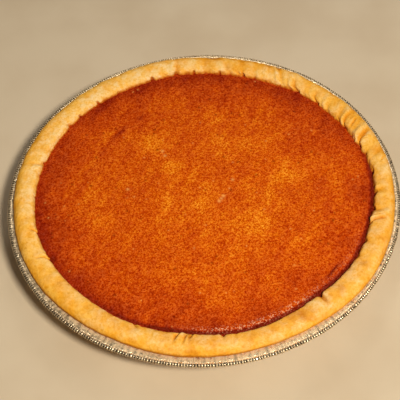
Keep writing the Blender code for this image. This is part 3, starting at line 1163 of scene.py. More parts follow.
@dataclass
class PastryShell:
    """The pastry: a pressed rim with folds, creases, dents and a ragged lip over a plain shell."""

    rim: RimForm
    pan: PanForm
    top: float  # the highest that any of it may stand
    thickness: float = 3.6 * MM
    gap: float = CONTACT
    sides: int = 1500
    steps: int = 54
    hidden_sides: int = 108
    folds: tuple[Fold, ...] = folds_of(  # the rim's own folds and tears
        (49.6, 1.0, 53.4, 0.5, 2.0, 1.2, 0.6, 0.6), (41.0, 1.0, 43.8, 0.6, 1.5, 1.0, 0.5, -0.3),
        (35.6, 0.97, 37.0, 0.5, 2.4, 0.7, 0.0, 0.3), (25.6, 1.0, 29.8, 0.42, 1.2, 1.0, 0.4, 0.5),
        (23.6, 0.85, 26.4, 0.5, 0.9, 0.6, 0.4, 0.4), (15.7, 1.0, 21.2, 0.35, 1.8, 1.5, 0.3, 0.8),
        (11.0, 1.0, 13.6, 0.5, 2.6, 0.6, 0.0, 0.3), (6.6, 0.7, 8.8, 0.35, 0.9, 0.6, 0.4, 0.4),
        (3.6, 1.0, 5.0, 0.76, 2.4, 1.0, 0.1, 0.2), (55.6, 0.95, 61.4, 0.15, 1.7, 1.0, 0.1, 0.6),
        (66.8, 1.0, 68.6, 0.5, 2.6, 1.0, 0.1, -0.3), (71.3, 1.0, 72.5, 0.74, 0.8, 1.5, 0.9, 0.5),
        (76.6, 1.0, 79.0, 0.4, 2.6, 0.9, 0.0, 0.3), (80.6, 1.0, 81.0, 0.84, 0.7, 1.0, 0.8, 0.4),
        (85.4, 1.0, 87.4, 0.4, 2.6, 0.8, 0.0, 0.3), (90.5, 1.0, 90.6, 0.84, 0.7, 1.1, 0.9, 0.4),
        (97.3, 1.0, 96.6, 0.55, 2.0, 1.4, 0.3, 0.5), (106.6, 1.0, 106.8, 0.78, 1.2, 1.6, 0.9, -0.4),
        (129.5, 1.0, 130.0, 0.8, 0.8, 1.5, 0.9, 0.5), (138.4, 1.0, 139.0, 0.86, 0.9, 1.1, 0.8, 0.4),
        (144.2, 1.0, 145.0, 0.8, 1.6, 0.9, 0.2, 0.4), (163.2, 1.0, 165.5, 0.6, 1.7, 0.9, 0.3, 0.6),
        (-165.8, 1.0, -167.2, 0.7, 1.1, 1.5, 0.9, 0.3), (-154.1, 1.0, -156.2, 0.62, 1.1, 1.5, 0.9, -0.3),
        (-140.6, 1.0, -141.6, 0.8, 0.9, 0.9, 0.6, 0.3), (-121.8, 1.0, -123.2, 0.78, 1.3, 0.7, 0.3, 0.3),
        (-116.6, 1.0, -113.6, 0.72, 1.2, 1.4, 0.8, 0.4), (-98.6, 1.0, -101.6, 0.62, 1.0, 2.3, 1.2, 0.35),
        (-97.2, 0.95, -98.8, 0.56, 0.9, 1.2, 0.4, 0.4), (-94.8, 1.0, -97.0, 0.7, 1.1, 2.2, 1.2, 0.35),
        (-87.1, 1.0, -86.4, 0.7, 1.5, 1.5, 0.8, -0.2), (-81.6, 1.0, -83.4, 0.6, 1.2, 0.4, 0.0, 0.3),
        (-51.9, 1.0, -52.8, 0.55, 1.4, 1.8, 0.7, 0.2), (-32.3, 1.0, -32.6, 0.62, 2.8, 0.8, 0.0, 0.2),
        (-25.6, 1.0, -26.1, 0.62, 1.8, 0.9, 0.1, 0.3), (-19.4, 1.0, -15.8, 0.55, 0.8, 1.7, 1.3, 1.2),
        (-11.8, 1.0, -13.2, 0.66, 1.7, 1.2, 0.2, -0.3), (-5.6, 1.0, -4.6, 0.5, 2.1, 1.0, 0.1, 0.4))
    ridges: tuple[Fold, ...] = folds_of(  # places where the dough stands up in a long ridge
        (-17.0, 1.0, -12.0, 0.12, 1.9, 0.5), (20.0, 0.9, 23.5, 0.2, 1.7, 0.5), (52.0, 0.7, 54.5, 0.15, 1.8, 0.45),
        (-113.0, 0.8, -109.0, 0.45, 2.4, 0.5), (-125.0, 0.85, -120.8, 0.5, 2.2, 0.45),
        (131.0, 0.5, 133.5, 0.06, 3.0, 0.5), (122.0, 0.5, 124.5, 0.06, 2.4, 0.5),
        (-98.6, 1.0, -99.6, 0.75, 1.6, 0.4))
    nicks: tuple[tuple[float, float, float], ...] = (  # (angle, mm that the lip is cut back, mm of half width)
        (3.4, 0.9, 1.9), (11.9, 1.0, 1.4), (15.2, 1.3, 1.8), (24.3, 0.5, 1.2), (31.8, 0.6, 0.9), (40.2, 0.9, 0.9),
        (49.2, 1.2, 1.2), (56.8, 0.5, 0.9), (67.0, 0.8, 1.3), (71.3, 1.3, 0.7), (76.6, 0.6, 1.6), (80.6, 0.9, 0.7),
        (86.6, 0.5, 1.6), (90.5, 1.3, 0.8), (97.3, 1.1, 2.0), (106.6, 1.5, 1.4), (120.8, 0.6, 1.0),
        (129.5, 1.6, 0.8), (138.4, 1.0, 1.1), (144.2, 0.7, 1.4), (151.3, 0.5, 0.8), (157.6, 0.6, 0.6),
        (163.0, 0.9, 0.6), (168.7, 0.6, 1.6), (178.4, 0.6, 0.9), (-175.4, 0.6, 1.1), (-171.0, 0.4, 0.7),
        (-165.8, 1.1, 0.9), (-154.1, 1.1, 1.1), (-140.6, 0.7, 0.6), (-121.7, 0.7, 1.2), (-116.5, 1.1, 0.7),
        (-105.3, 0.6, 0.9), (-99.4, 1.2, 0.9), (-95.5, 1.2, 0.9), (-87.1, 0.9, 1.2), (-74.0, 0.5, 1.6),
        (-61.1, 0.4, 0.9), (-51.9, 1.5, 1.3), (-32.3, 0.5, 2.6), (-25.6, 0.5, 1.6), (-18.6, 1.0, 0.9),
        (-11.8, 0.8, 1.4), (-5.6, 0.6, 1.6), (51.2, -0.5, 0.6), (55.5, -0.4, 0.6), (60.2, -0.5, 0.5),
        (63.5, -0.5, 0.6), (74.0, -0.6, 0.6), (78.3, -0.4, 0.5), (84.2, -0.5, 0.5), (105.4, -0.5, 0.6),
        (118.0, -0.6, 0.9), (-155.0, -0.7, 0.9), (18.2, -0.8, 1.3), (-97.8, -0.6, 2.2))
    small_nicks: int = 64
    nick_tail: float = 6.0 * MM  # how far along the lip is pulled beside a nick
    nick_pull: tuple[float, float] = (0.3, -0.1)  # how far it is pulled in before and after, in the nick's depths
    crack_width: float = 0.3  # of a fold's half width
    crack_depth: float = 0.4  # of a fold's depth
    dent_seed: int = 11
    dents: int = 34
    dent_width: tuple[float, float] = (2.4 * MM, 4.5 * MM)
    dent_depth: tuple[float, float] = (0.15 * MM, 0.45 * MM)
    dent_place: tuple[float, float] = (0.3, 0.75)  # shares of the rim's width
    crease_seed: int = 23
    crease_width: tuple[float, float] = (0.6, 1.8)  # mm
    crease_depth: tuple[float, float] = (0.1, 0.45)  # mm
    crease_lean: tuple[float, float] = (7.0, 16.0)  # degrees over the whole width of the rim
    # by angle: browning with painted shade, flouring with painted light, and painted shade alone
    baking: tuple[Baking, ...] = (
        Baking(22.0, (0.6, 0.22, 0.15), (0.0, 0.24, 0.35), (0.0, 0.0, 0.08)),
        Baking(67.0, (1.0, 0.5, 0.08), (0.0, 0.12, 0.65), (0.0, 0.06, 0.0)),
        Baking(112.0, (0.4, 0.06, 0.0), (0.0, 0.25, 1.05), (0.0, 0.0, 0.0)),
        Baking(157.0, (0.25, 0.04, 0.0), (0.0, 0.12, 1.1), (0.0, 0.0, 0.0)),
        Baking(202.0, (0.25, 0.02, 0.12), (0.0, 0.08, 0.5), (0.0, 0.0, 0.0)),
        Baking(247.0, (0.35, 0.26, 0.42), (0.0, 0.4, 0.48), (0.0, 0.0, 0.1)),
        Baking(292.0, (0.35, 0.42, 0.42), (0.1, 0.65, 0.6), (0.0, 0.05, 0.1)),
        Baking(337.0, (0.36, 0.4, 0.4), (0.1, 0.65, 0.6), (0.0, 0.05, 0.12)))
    baking_shares: tuple[float, float, float] = (0.25, 0.53, 0.75)  # where a baking's three places lie
    gathered: tuple[float, float] = (4.0, 112.0)  # degrees: here the dough is gathered in fine creases
    gathered_creases: int = 30
    plain_creases: int = 40
    crumb: tuple[Bumps, ...] = (Bumps(0.24 * MM, 13 * MM, 51), Bumps(0.16 * MM, 5 * MM, 52),
                                Bumps(0.1 * MM, 2.2 * MM, 53), Bumps(0.06 * MM, 1.2 * MM, 54))
    lumps: tuple[Bumps, ...] = (Bumps(0.6 * MM, 6.5 * MM, 55), Bumps(0.35 * MM, 3.0 * MM, 56))
    lumps_lean: float = math.radians(9.0)  # how far round they drift down the inner slope
    lip: tuple[Bumps, ...] = (Bumps(0.22 * MM, 6.5 * MM, 41), Bumps(0.16 * MM, 2.6 * MM, 42))
    stain_patches: Bumps = Bumps(1.0, 8 * MM, 57)
    stain_edge: Bumps = Bumps(0.25, 2.5 * MM, 58)
    stained_front: Sector = Sector(-45.0, 70.0, 4)
    spills: tuple[Sector, Sector] = (Sector(78.0, 20.0), Sector(122.0, 16.0))  # a large one and a small one
    foot_shade: Sector = Sector(-122.0, 60.0, 4)  # where the painted shade along the rim's foot is darkest

    def draw_dents(self) -> list[tuple[float, float, float, float]]:
        """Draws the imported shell's dents.

        Returns:
            The (angle, share of the width, half width, depth) of each.
        """
        draw = random.Random(self.dent_seed)
        step = 2 * math.pi / self.dents
        return [(step * (number + draw.uniform(-0.4, 0.4)), draw.uniform(*self.dent_place),
                 draw.uniform(*self.dent_width), draw.uniform(*self.dent_depth))
                for number in range(self.dents)]

    def draw_creases(self) -> list[Fold]:
        """Draws fine creases all round the rim.

        Returns:
            The creases, most and deepest where the dough is gathered.
        """
        draw = random.Random(self.crease_seed)
        low, high = self.gathered
        found = []
        for start, end, count, strength in ((low, high, self.gathered_creases, 1.0),
                                            (high, low + 360, self.plain_creases, 0.5)):
            step = (end - start) / count
            for number in range(count):
                place = start + step * (number + draw.uniform(0.0, 1.0))
                near = draw.choice((1.0, 1.0, draw.uniform(0.5, 0.9)))
                far = near - draw.uniform(0.15, 0.45)
                lean = draw.uniform(*self.crease_lean) * (near - far)
                lean *= 1 if strength == 1 else draw.choice((-0.7, 0.7))
                found.append(Fold((place, near), (place + lean, far), draw.uniform(*self.crease_width) * MM,
                                  strength * draw.uniform(*self.crease_depth) * MM))
        return found

    def relief(self, angle: Array, share: Array) -> tuple[Array, Array]:
        """Depth of folds, cracks, creases and dents under the smooth rim.

        Args:
            angle: angles round the pie, as a row.
            share: shares of the rim's width as a column, 0 at the outer edge and 1 at the filling.

        Returns:
            The depth in metres, and the painted shade in folds, cracks and creases at each point, from 0 to 1.
        """
        shape = np.broadcast(angle, share).shape
        depth, crease_shade = np.zeros(shape), np.zeros(shape)
        for fold in self.folds:
            across, held = fold.across(angle, share, self.rim.inner), fold.held(share)
            groove = np.exp(-across ** 2)
            beside = across - math.copysign(1.5, fold.ridge)
            lip = abs(fold.ridge) * np.exp(-beside ** 2) * smooth_step(1 - share, 0.02, 0.15)
            crack = fold.crack * np.exp(-(across / self.crack_width) ** 2)
            depth += fold.depth * (groove - lip + self.crack_depth * crack) * held
            # painted shade in each fold's groove and crack
            crease_shade += fold.depth / MM * (0.08 * groove + 0.4 * crack) * held ** 2
        for ridge in self.ridges:
            across = ridge.across(angle, share, self.rim.inner)
            depth -= ridge.depth * np.exp(-across ** 2) * ridge.held(share)
        for crease in self.draw_creases():
            across = crease.across(angle, share, self.rim.inner)
            groove = np.exp(-np.abs(across) ** 1.4) - 0.5 * np.exp(-(across - 1.7) ** 2)
            depth += crease.depth * groove * crease.held(share)
            # painted shade along each fine crease
            crease_shade += 0.3 * crease.depth / MM * np.exp(-2 * across ** 2) * crease.held(share)
        for place, middle, width, deep in self.draw_dents():
            across = self.rim.outer * turn_between(angle, place) / width
            inward = (share - middle) * (self.rim.outer - self.rim.inner) / width
            depth += deep * np.exp(-across ** 2 - inward ** 2)
        fade = smooth_step(share, 0.02, 0.14)
        return depth * fade, np.clip(crease_shade * fade, 0, 1)

    def draw_nicks(self) -> list[tuple[float, float, float]]:
        """Draws small nicks in the lip all the way round.

        Returns:
            The (angle, how far it is cut back, half width) of each, the last two in mm.
        """
        draw = random.Random(self.crease_seed + 1)
        step = 360 / self.small_nicks
        return [(step * (number + draw.uniform(0.0, 1.0)), draw.uniform(0.05, 0.6) ** 1.5, draw.uniform(0.4, 1.1))
                for number in range(self.small_nicks)]

    def raggedness(self, angle: Array) -> Array:
        """How far the lip's torn edge stands in over the filling at each angle, in metres.

        Args:
            angle: angles round the pie.

        Returns:
            The distance at each angle, below 0 where a nick cuts the lip back.
        """
        stands = sum_of(self.lip, around(self.rim.inner, angle, 0.0))
        for place, deep, width in (*self.nicks, *self.draw_nicks()):
            past = self.rim.inner * turn_between(angle, math.radians(place))
            stands -= deep * MM * np.clip(1 - np.abs(past) / (width * MM), 0, 1)
            if deep > 0:
                tail = np.exp(-np.abs(past) / self.nick_tail)
                stands += deep * MM * np.where(past < 0, *self.nick_pull) * tail
        return stands

    def rim_rings(self) -> list[Ring]:
        """The rim.

        Returns:
            Its rings from the filling line over the crest to the outer foot.
        """
        rim, angle = self.rim, angles_of(self.sides)
        outer, inner, height = rim.outer_at(angle), rim.inner_at(angle), rim.height_at(angle)
        width = outer - inner
        guide = [(outer - rim.foot_inset, 0.0 * height), (outer, rim.foot_rise + 0.0 * height),
                 *((outer - share * width, rise * height) for share, rise in rim.profile),
                 (inner, rim.fill_share * height)]
        section = spline(np.array([np.stack([r, rim.seat + rise], axis=-1) for r, rise in guide]), self.steps)
        along = np.gradient(section, axis=0)
        normal = np.stack([-along[..., 1], along[..., 0]], axis=-1)
        normal /= np.linalg.norm(normal, axis=-1)[..., None]
        share = np.linspace(0, 1, self.steps + 1)[:, None]
        depth, crease_shade = self.relief(angle[None, :], share)
        smooth = around(section[..., 0], angle[None, :], section[..., 1])
        depth += (sum_of(self.crumb, smooth) + self.lumps_at(angle[None, :], share)) * smooth_step(share, 0.0, 0.12)
        stain = self.stain_at(angle[None, :], share, width)
        section = section + normal * depth[..., None]
        section[..., 0] -= self.raggedness(angle)[None, :] * smooth_step(share, 0.84, 1.0)
        section[..., 1] = np.minimum(section[..., 1], self.top)
        return [Ring(section[k, :, 0], section[k, :, 1],
                     self.marks_at(angle, share[k, 0], crease_shade[k], depth[k], stain[k]))
                for k in range(self.steps, -1, -1)]

    def lumps_at(self, angle: Array, share: Array) -> Array:
        """Soft lumps where the dough is gathered, drawn out down the inner slope.

        Args:
            angle: angles round the pie, as a row.
            share: shares of the rim's width as a column.

        Returns:
            How far each point sinks, in metres.
        """
        low, high = self.gathered
        here = 0.25 + 0.75 * Sector((low + high) / 2, (high - low) / 2, 6).at(angle)
        place = around(self.rim.inner, angle + self.lumps_lean * share, 7 * MM * share)
        return here * smooth_step(share, 0.08, 0.45) * sum_of(self.lumps, place)

    def stain_at(self, angle: Array, share: Array, width: Array) -> Array:
        """Where the filling has baked onto the pastry, from 0 to 1.

        Args:
            angle: angles round the pie, as a row.
            share: shares of the rim's width as a column.
            width: the rim's width at each angle.

        Returns:
            One value for each angle and share.
        """
        line = around(self.rim.inner, angle, 0.0)
        large, small = self.spills
        spills = large.at(angle) + 0.5 * small.at(angle)
        patches = self.stain_patches.at(line)
        reach = (0.3 + 0.3 * patches + self.stain_edge.at(line) + 0.5 * self.stained_front.at(angle)
                 + spills * (0.9 + 0.9 * patches)) * MM
        inset = np.maximum((1 - share) * width - 0.2 * MM, 0)
        return np.exp(-(inset / np.maximum(reach, 0.25 * MM)) ** 1.5)

    def baked(self, angle: Array, share: float, effect: Effect) -> Array:
        """How the rim has baked at each angle, with its painted shade and light.

        Args:
            angle: angles round the pie.
            share: a share of the rim's width.
            effect: which effect is wanted.

        Returns:
            The value at each angle.
        """
        values = [np.interp(share, self.baking_shares, getattr(place, effect.value)) for place in self.baking]
        return np.interp(np.degrees(angle), [place.angle for place in self.baking], values, period=360)

    def marks_at(self, angle: Array, share: float, crease_shade: Array, depth: Array,
                 stain: Array) -> dict[Mark, Array]:
        """What the finish reads along one ring of the rim.

        Args:
            angle: the ring's angles.
            share: its share of the rim's width.
            crease_shade: the painted shade in creases and cracks at each point.
            depth: how far each point lies under the smooth rim.
            stain: how far filling has stained it.

        Returns:
            The ring's marks.
        """
        # painted shade along the rim's foot, darkest at the front left
        foot = 1 - float(smooth_step(share, 0.2, 0.33))
        line = 0.4 + 0.6 * self.foot_shade.at(angle)
        sunk, raised = np.clip(depth / (0.9 * MM), 0, 1), np.clip(-depth / (0.6 * MM), 0, 1)
        # painted shade deepens the toast in hollows, and painted highlight makes raised dough pale
        toast = self.baked(angle, share, Effect.BROWNED) + 0.45 * sunk - 0.25 * raised
        bloom = self.baked(angle, share, Effect.FLOURED) + 0.6 * raised - 0.5 * sunk
        # painted shade: in creases, on slopes turned from the lamp and along the foot
        crease = crease_shade + self.baked(angle, share, Effect.DULLED) + foot * line
        return {Mark.CREASE: np.clip(crease, 0, 1), Mark.TOAST: toast,
                Mark.BLOOM: np.clip(bloom, 0, 1), Mark.STAIN: stain}

    def wall_line(self) -> Array:
        """The plain inner wall from the base's corner to the flange, as (radius, height) points."""
        return offset(self.pan.inside(3, 2), self.gap + self.thickness)

    def inner_wall(self) -> list[Ring]:
        """The inner wall.

        Returns:
            Its rings from the base up to just under the filling line.
        """
        rim, line = self.rim, self.wall_line()
        foot, top = line[3:5]
        rings = [Ring.level(radius, height, self.hidden_sides) for radius, height in line[:4]]
        for share, sides in ((1.0, self.hidden_sides), (0.4, self.sides)):
            angle = angles_of(sides)
            level = rim.seat - rim.swell * share
            plain = foot[0] + (top[0] - foot[0]) * (level - foot[1]) / (top[1] - foot[1])
            edge = rim.inner_at(angle) - 3 * rim.lip_inset
            rings.append(Ring((1 - share) * edge + share * plain, np.full(sides, level)))
        angle = angles_of(self.sides)
        ragged = self.raggedness(angle)
        for share in (0.0, 0.5):
            radius = rim.inner_at(angle) - rim.lip_inset * (1 - share) - ragged * (0.3 + 0.7 * share)
            level = rim.seat - rim.lip_drop + share * (rim.lip_drop + rim.fill_share * rim.height_at(angle))
            flat = np.zeros(self.sides)
            rings.append(Ring(radius, level, self.marks_at(angle, 1.0, flat, flat, flat + 1)))
        return rings

    def build(self) -> bpy.types.Object:
        """Makes the pastry shell and dresses it.

        Returns:
            The shell.
        """
        inner = self.inner_wall()
        seat = offset(self.pan.inside(3, 2), self.gap)
        outside = [Ring.level(radius, height, self.hidden_sides) for radius, height in seat[::-1]]
        shell = Skin([*inner, *self.rim_rings(), *outside], float(inner[0].height[0]), float(seat[0][1]))
        made = shell.build("pressed_pastry_crust")
        made.data.materials.append(PastryFinish().make())
        return stand_for(made, Node.PASTRY)


# ---- The filling ----


@dataclass(frozen=True)
class Streaks:
    """Streaks that the spoon left, all lying one way."""

    length: float
    width: float
    seed: int
    way: float = 53.0  # degrees; the way they lie

    def at(self, flat: Array) -> Array:
        """Values between about -1 and 1 at places on the top, given at height 0."""
        way = math.radians(self.way)
        c, s = math.cos(way), math.sin(way)
        along, across = c * flat[:, 0] + s * flat[:, 1], c * flat[:, 1] - s * flat[:, 0]
        stretched = np.stack([along * self.width / self.length, across, 0 * along], axis=-1)
        return noise(stretched, self.width, self.seed)


@dataclass
class Filling:
    """The baked filling: a grainy, slightly domed top that has drawn away from the pastry at the right."""

    rim: RimForm
    shell: PastryShell
    spacing: float = 0.72 * MM  # between the rings of the top, and between their points
    dome: float = 1.4 * MM
    shoulder: float = 4.0 * MM
    edge_drop: float = 0.35 * MM
    drawn_drop: float = 0.55 * MM  # where the filling has drawn away from the pastry
    rift_depth: float = 0.3 * MM  # of the groove along the pastry there
    rift_width: float = 1.5 * MM
    tuck: float = 1.6 * MM  # how far the edge runs in under the pastry's lip
    edge_round: tuple[Point, ...] = ((0.1, 0.6), (0.25, 1.3), (0.5, 2.2), (0.9, 3.4))  # mm inward and down
    wall_gap: float = 0.45 * MM
    waves: tuple[Wave, ...] = (Wave(2, 0.25 * MM, 0.8), Wave(3, 0.3 * MM, 2.9), Wave(5, 0.25 * MM, 4.4))
    grain: tuple[Bumps, ...] = (Bumps(0.25 * MM, 24 * MM, 61), Bumps(0.14 * MM, 2.4 * MM, 63),
                                Bumps(0.11 * MM, 1.5 * MM, 64))
    froth: Bumps = Bumps(0.6, 1.5 * MM, 65)  # on the glazed blisters
    furrows: Streaks = Streaks(15 * MM, 4.5 * MM, 62)
    furrow_depth: float = 0.09 * MM
    clouds: tuple[Bumps, ...] = (Bumps(0.12, 3.0 * MM, 68), Bumps(0.08, 28 * MM, 67))  # of light and dark
    tones: tuple[Streaks, Streaks] = (Streaks(13 * MM, 4.5 * MM, 66), Streaks(22 * MM, 7 * MM, 69, way=67.0))
    seed: int = 31
    pits: int = 90
    pit_radius: tuple[float, float] = (0.35 * MM, 0.8 * MM)
    pit_depth: float = 0.3 * MM
    flecks: int = 60
    fleck_radius: tuple[float, float] = (0.25 * MM, 0.5 * MM)
    cover: float = 0.8  # how fully pits and flecks hide the orange
    pale_patches: tuple[Spot, ...] = (
        (-31 * MM, 42 * MM, 8 * MM), (-20 * MM, 20 * MM, 6 * MM), (-22 * MM, -7 * MM, 5 * MM),
        (-2 * MM, -10 * MM, 5 * MM), (30 * MM, -30 * MM, 10 * MM), (52 * MM, 8 * MM, 8 * MM))
    strokes: tuple[Spot, ...] = (  # pale streaks near the middle
        (19.0 * MM, 6.8 * MM, 0.9 * MM), (9.7 * MM, -9.5 * MM, 1.0 * MM), (11.1 * MM, -7.5 * MM, 0.9 * MM),
        (12.5 * MM, -5.6 * MM, 1.0 * MM), (-24.4 * MM, 34.0 * MM, 0.9 * MM), (-22.9 * MM, 30.0 * MM, 0.9 * MM),
        (-47.0 * MM, 4.3 * MM, 0.9 * MM))
    bulge_place: Sector = Sector(-41.5, 3.6, 4)  # here the skin has risen in a long blister
    bulge_radius: float = 100.2 * MM
    bulge_width: float = 1.5 * MM
    bulge_height: float = 0.9 * MM
    glazed: tuple[Sector, Sector] = (Sector(-74.0, 22.0, 4), Sector(-36.0, 12.0))  # a strong one and a weak one
    glaze_inset: float = 3.8 * MM
    glaze_width: float = 1.6 * MM
    scorched: Sector = Sector(134.0, 17.0, 4)
    scorch_radius: float = 74.0 * MM
    scorch_width: float = 2.0 * MM
    # where painted light most lifts the edge next to the pastry
    painted_light_edge: Sector = Sector(58.0, 38.0)
    # where a painted shade line runs just inside the pastry's lip
    front_shade_line: Sector = Sector(-88.0, 38.0, 4)

    def edge_at(self, angle: Array) -> Array:
        """Radius of the filling's edge."""
        return self.rim.inner_at(angle) + self.tuck

    def inset_at(self, angle: Array, share: float) -> Array:
        """Distance in from the line where the top meets the pastry."""
        return np.maximum(self.edge_at(angle) * (1 - share) - self.tuck, 0)

    def level_at(self, angle: Array, share: float) -> Array:
        """Height of the smooth surface.

        Args:
            angle: angles round the pie.
            share: a share of the edge's radius.

        Returns:
            The height at each angle.
        """
        rim = self.rim
        level = rim.seat + rim.fill_share * (rim.height + sum_of(rim.height_waves, angle) * share ** 4)
        swell = sum_of(self.waves, angle) * math.sin(math.pi * share) * share
        inset = self.inset_at(angle, share)
        shoulder = np.clip(1 - inset / self.shoulder, 0, 1) ** 2
        rift = np.exp(-(inset / self.rift_width) ** 2)
        away = rim.away.at(angle)
        drop = (self.edge_drop * (1 - away) + self.drawn_drop * away) * shoulder + self.rift_depth * away * rift
        return level + self.dome * (1 - share ** 2) + swell - drop

    def blistered(self, angle: Array, inset: Array) -> Array:
        """Where the edge has bubbled up and glazed, from 0 to 1."""
        strong, weak = self.glazed
        place = np.clip(strong.at(angle) + 0.25 * weak.at(angle), 0, 1)
        return place * np.exp(-((inset - self.glaze_inset) / self.glaze_width) ** 2)

    def bulge(self, angle: Array, radius: Array, inward: float) -> Array:
        """A low blister near the edge at the front right.

        Args:
            angle: angles round the pie.
            radius: distances from its axis.
            inward: how far inside the blister's own line; above 0 it is the narrower line along its rim.

        Returns:
            How much each point belongs to it, from 0 to 1.
        """
        out = (radius - self.bulge_radius + inward) / (self.bulge_width - 0.45 * inward)
        return self.bulge_place.at(angle) * np.exp(-out ** 2)

    def scorched_arc(self, radius: Array, angle: Array) -> Array:
        """A broken darker arc at the back left.

        Args:
            radius: distances from the pie's axis.
            angle: angles round it.

        Returns:
            How dark each point is, from 0 to 1.
        """
        line = self.scorch_radius - 3 * MM * turn_between(angle, math.radians(self.scorched.middle - 4))
        broken = 0.6 + 0.4 * np.sin(22 * angle)
        return self.scorched.at(angle) * broken * np.exp(-((radius - line) / self.scorch_width) ** 2)

    def scattered(self, count: int, seed: int, low: float, high: float) -> list[Spot]:
        """Random spots on the top.

        Args:
            count: how many.
            seed: picks the draw.
            low: the smallest radius of a spot.
            high: the largest.

        Returns:
            The spots.
        """
        draw = random.Random(seed)
        found = []
        for _ in range(count):
            turn, out = draw.uniform(0, 2 * math.pi), self.rim.inner * math.sqrt(draw.uniform(0, 0.93))
            found.append((out * math.cos(turn), out * math.sin(turn), draw.uniform(low, high)))
        return found

    @staticmethod
    def spotted(points: Array, spots: Iterable[Spot]) -> Array:
        """Where spots lie.

        Args:
            points: places, with x, y and z last.
            spots: the spots.

        Returns:
            How near each place is to a spot, from 0 to 1 at a spot's middle.
        """
        found = np.zeros(len(points))
        for x, y, radius in spots:
            apart = (points[:, 0] - x) ** 2 + (points[:, 1] - y) ** 2
            close = apart < (3 * radius) ** 2
            found[close] = np.maximum(found[close], np.exp(-apart[close] / radius ** 2))
        return found

    def sear_and_shade_at(self, angle: Array, radius: Array, inset: Array) -> Array:
        """How far the oven has darkened the top, with painted shade along parts of its edge and painted light near
        the pastry.

        Args:
            angle: angles round the pie.
            radius: distances from its axis.
            inset: distances in from the pastry.

        Returns:
            The darkening at each point, from 0 to 1.
        """
        flat = around(radius, angle, 0.0)
        side = (0.5 + 0.5 * np.cos(angle - math.radians(140)) + 0.5 * np.cos(2 * angle - math.radians(110))
                - 0.15 * np.sin(3 * angle))
        # painted light lifting the edge where the pastry's lip shades it
        painted_light = 0.14 + 0.2 * self.painted_light_edge.at(angle)
        edge = (0.3 + 0.25 * side) * np.exp(-inset / (12 * MM)) + 0.16 * np.exp(-inset / (34 * MM))
        edge -= painted_light * np.exp(-inset / (2.6 * MM))
        # the dark band where the filling has drawn away: its dark edge, and painted shade of the gap
        edge += 0.75 * self.rim.away.at(angle) * np.exp(-(inset / (2.2 * MM)) ** 3)
        # painted shade line just inside the lip at the front
        edge += 0.5 * self.front_shade_line.at(angle) * np.exp(-((inset - 1.6 * MM) / (1.3 * MM)) ** 2)
        fine, broad = self.tones
        streaks = fine.at(flat) + broad.at(flat)
        # the bulge term is painted shade along the blister's inner side
        spots = (0.4 * self.scorched_arc(radius, angle) - 0.21 * self.spotted(flat, self.pale_patches)
                 + 0.5 * self.bulge(angle, radius, 2.1 * MM) - 0.1 * self.blistered(angle, inset))
        return np.clip(0.2 + edge + 0.09 * streaks + sum_of(self.clouds, flat) + spots, 0, 1)

    def top_ring(self, share: float, sides: int) -> Ring:
        """One ring of the top surface.

        Args:
            share: its share of the edge's radius.
            sides: how many points it has.

        Returns:
            The ring, with its marks.
        """
        angle = angles_of(sides)
        radius, inset = self.edge_at(angle) * share, self.inset_at(angle, share)
        flat = around(radius, angle, 0.0)
        pit = self.spotted(flat, self.scattered(self.pits, self.seed, *self.pit_radius))
        flecks = self.scattered(self.flecks, self.seed + 1, *self.fleck_radius)
        fleck = self.spotted(flat, [*flecks, *self.strokes])
        blister = self.blistered(angle, inset)
        relief = sum_of(self.grain, flat) + self.furrow_depth * self.furrows.at(flat)
        relief += blister * (0.25 + self.froth.at(flat)) * MM - self.pit_depth * pit
        relief += self.bulge_height * self.bulge(angle, radius, 0.0)
        return Ring(radius, self.level_at(angle, share) + relief,
                    {Mark.SEAR: self.sear_and_shade_at(angle, radius, inset), Mark.GLAZE: blister,
                     Mark.PIT: self.cover * pit, Mark.FLECK: self.cover * fleck})

    def build(self) -> bpy.types.Object:
        """Makes the filling and dresses it.

        Returns:
            The filling.
        """
        count = round(self.rim.inner / self.spacing)
        rings = [self.top_ring(k / count, max(8, round(2 * math.pi * k))) for k in range(1, count + 1)]
        edge, sides = rings[-1], len(rings[-1].radius)
        radius, dark = self.edge_at(angles_of(sides)), {Mark.SEAR: np.ones(sides)}
        rings += [Ring(radius - inward * MM, edge.height - drop * MM, dark) for inward, drop in self.edge_round]
        hidden = self.shell.inner_wall()[:5][::-1]
        rings += [Ring(ring.radius - self.wall_gap, ring.height + self.shell.gap) for ring in hidden]
        top = float(rings[0].height.mean())
        made = Skin(rings, top, float(rings[-1].height[0])).build("baked_filling")
        made.data.materials.append(FillingFinish().make())
        return stand_for(made, Node.FILLING)


# ---- Floor, light and camera ----


def stand_for(piece: bpy.types.Object, node: Node) -> bpy.types.Object:
    """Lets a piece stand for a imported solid.

    Args:
        piece: the fine piece.
        node: the solid that it replaces.

    Returns:
        The same piece.
    """
    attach(piece, BODY)
    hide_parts(node.value)
    return piece


@dataclass
class Counter:
    """The plain pale surface that the pie stands on."""

    half_width: float = 1.6

    def build(self) -> bpy.types.Object:
        """Makes the counter.

        Returns:
            The counter.
        """
        reach = self.half_width
        mesh = bpy.data.meshes.new("counter")
        corners = [(-reach, -reach, 0), (reach, -reach, 0), (reach, reach, 0), (-reach, reach, 0)]
        mesh.from_pydata(corners, [], [(0, 1, 2, 3)])
        mesh.materials.append(CounterFinish().make())
        counter = bpy.data.objects.new("counter", mesh)
        bpy.context.scene.collection.objects.link(counter)
        counter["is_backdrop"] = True
        return counter


@dataclass(frozen=True)
class Lamp:
    """A square soft light: where it stands, its size, its power in watts and its colour."""

    name: str
    place: tuple[float, float, float]
    size: float
    power: float
    colour: Colour

    def build(self) -> bpy.types.Object:
        """Makes the light, aimed at the pie.

        Returns:
            The light.
        """
        light = bpy.data.lights.new(self.name, "AREA")
        light.size, light.energy, light.color = self.size, self.power, self.colour
        lamp = bpy.data.objects.new(self.name, light)
        lamp.location = self.place
        lamp.rotation_euler = (-Vector(self.place)).to_track_quat("-Z", "Y").to_euler()
        bpy.context.scene.collection.objects.link(lamp)
        return lamp


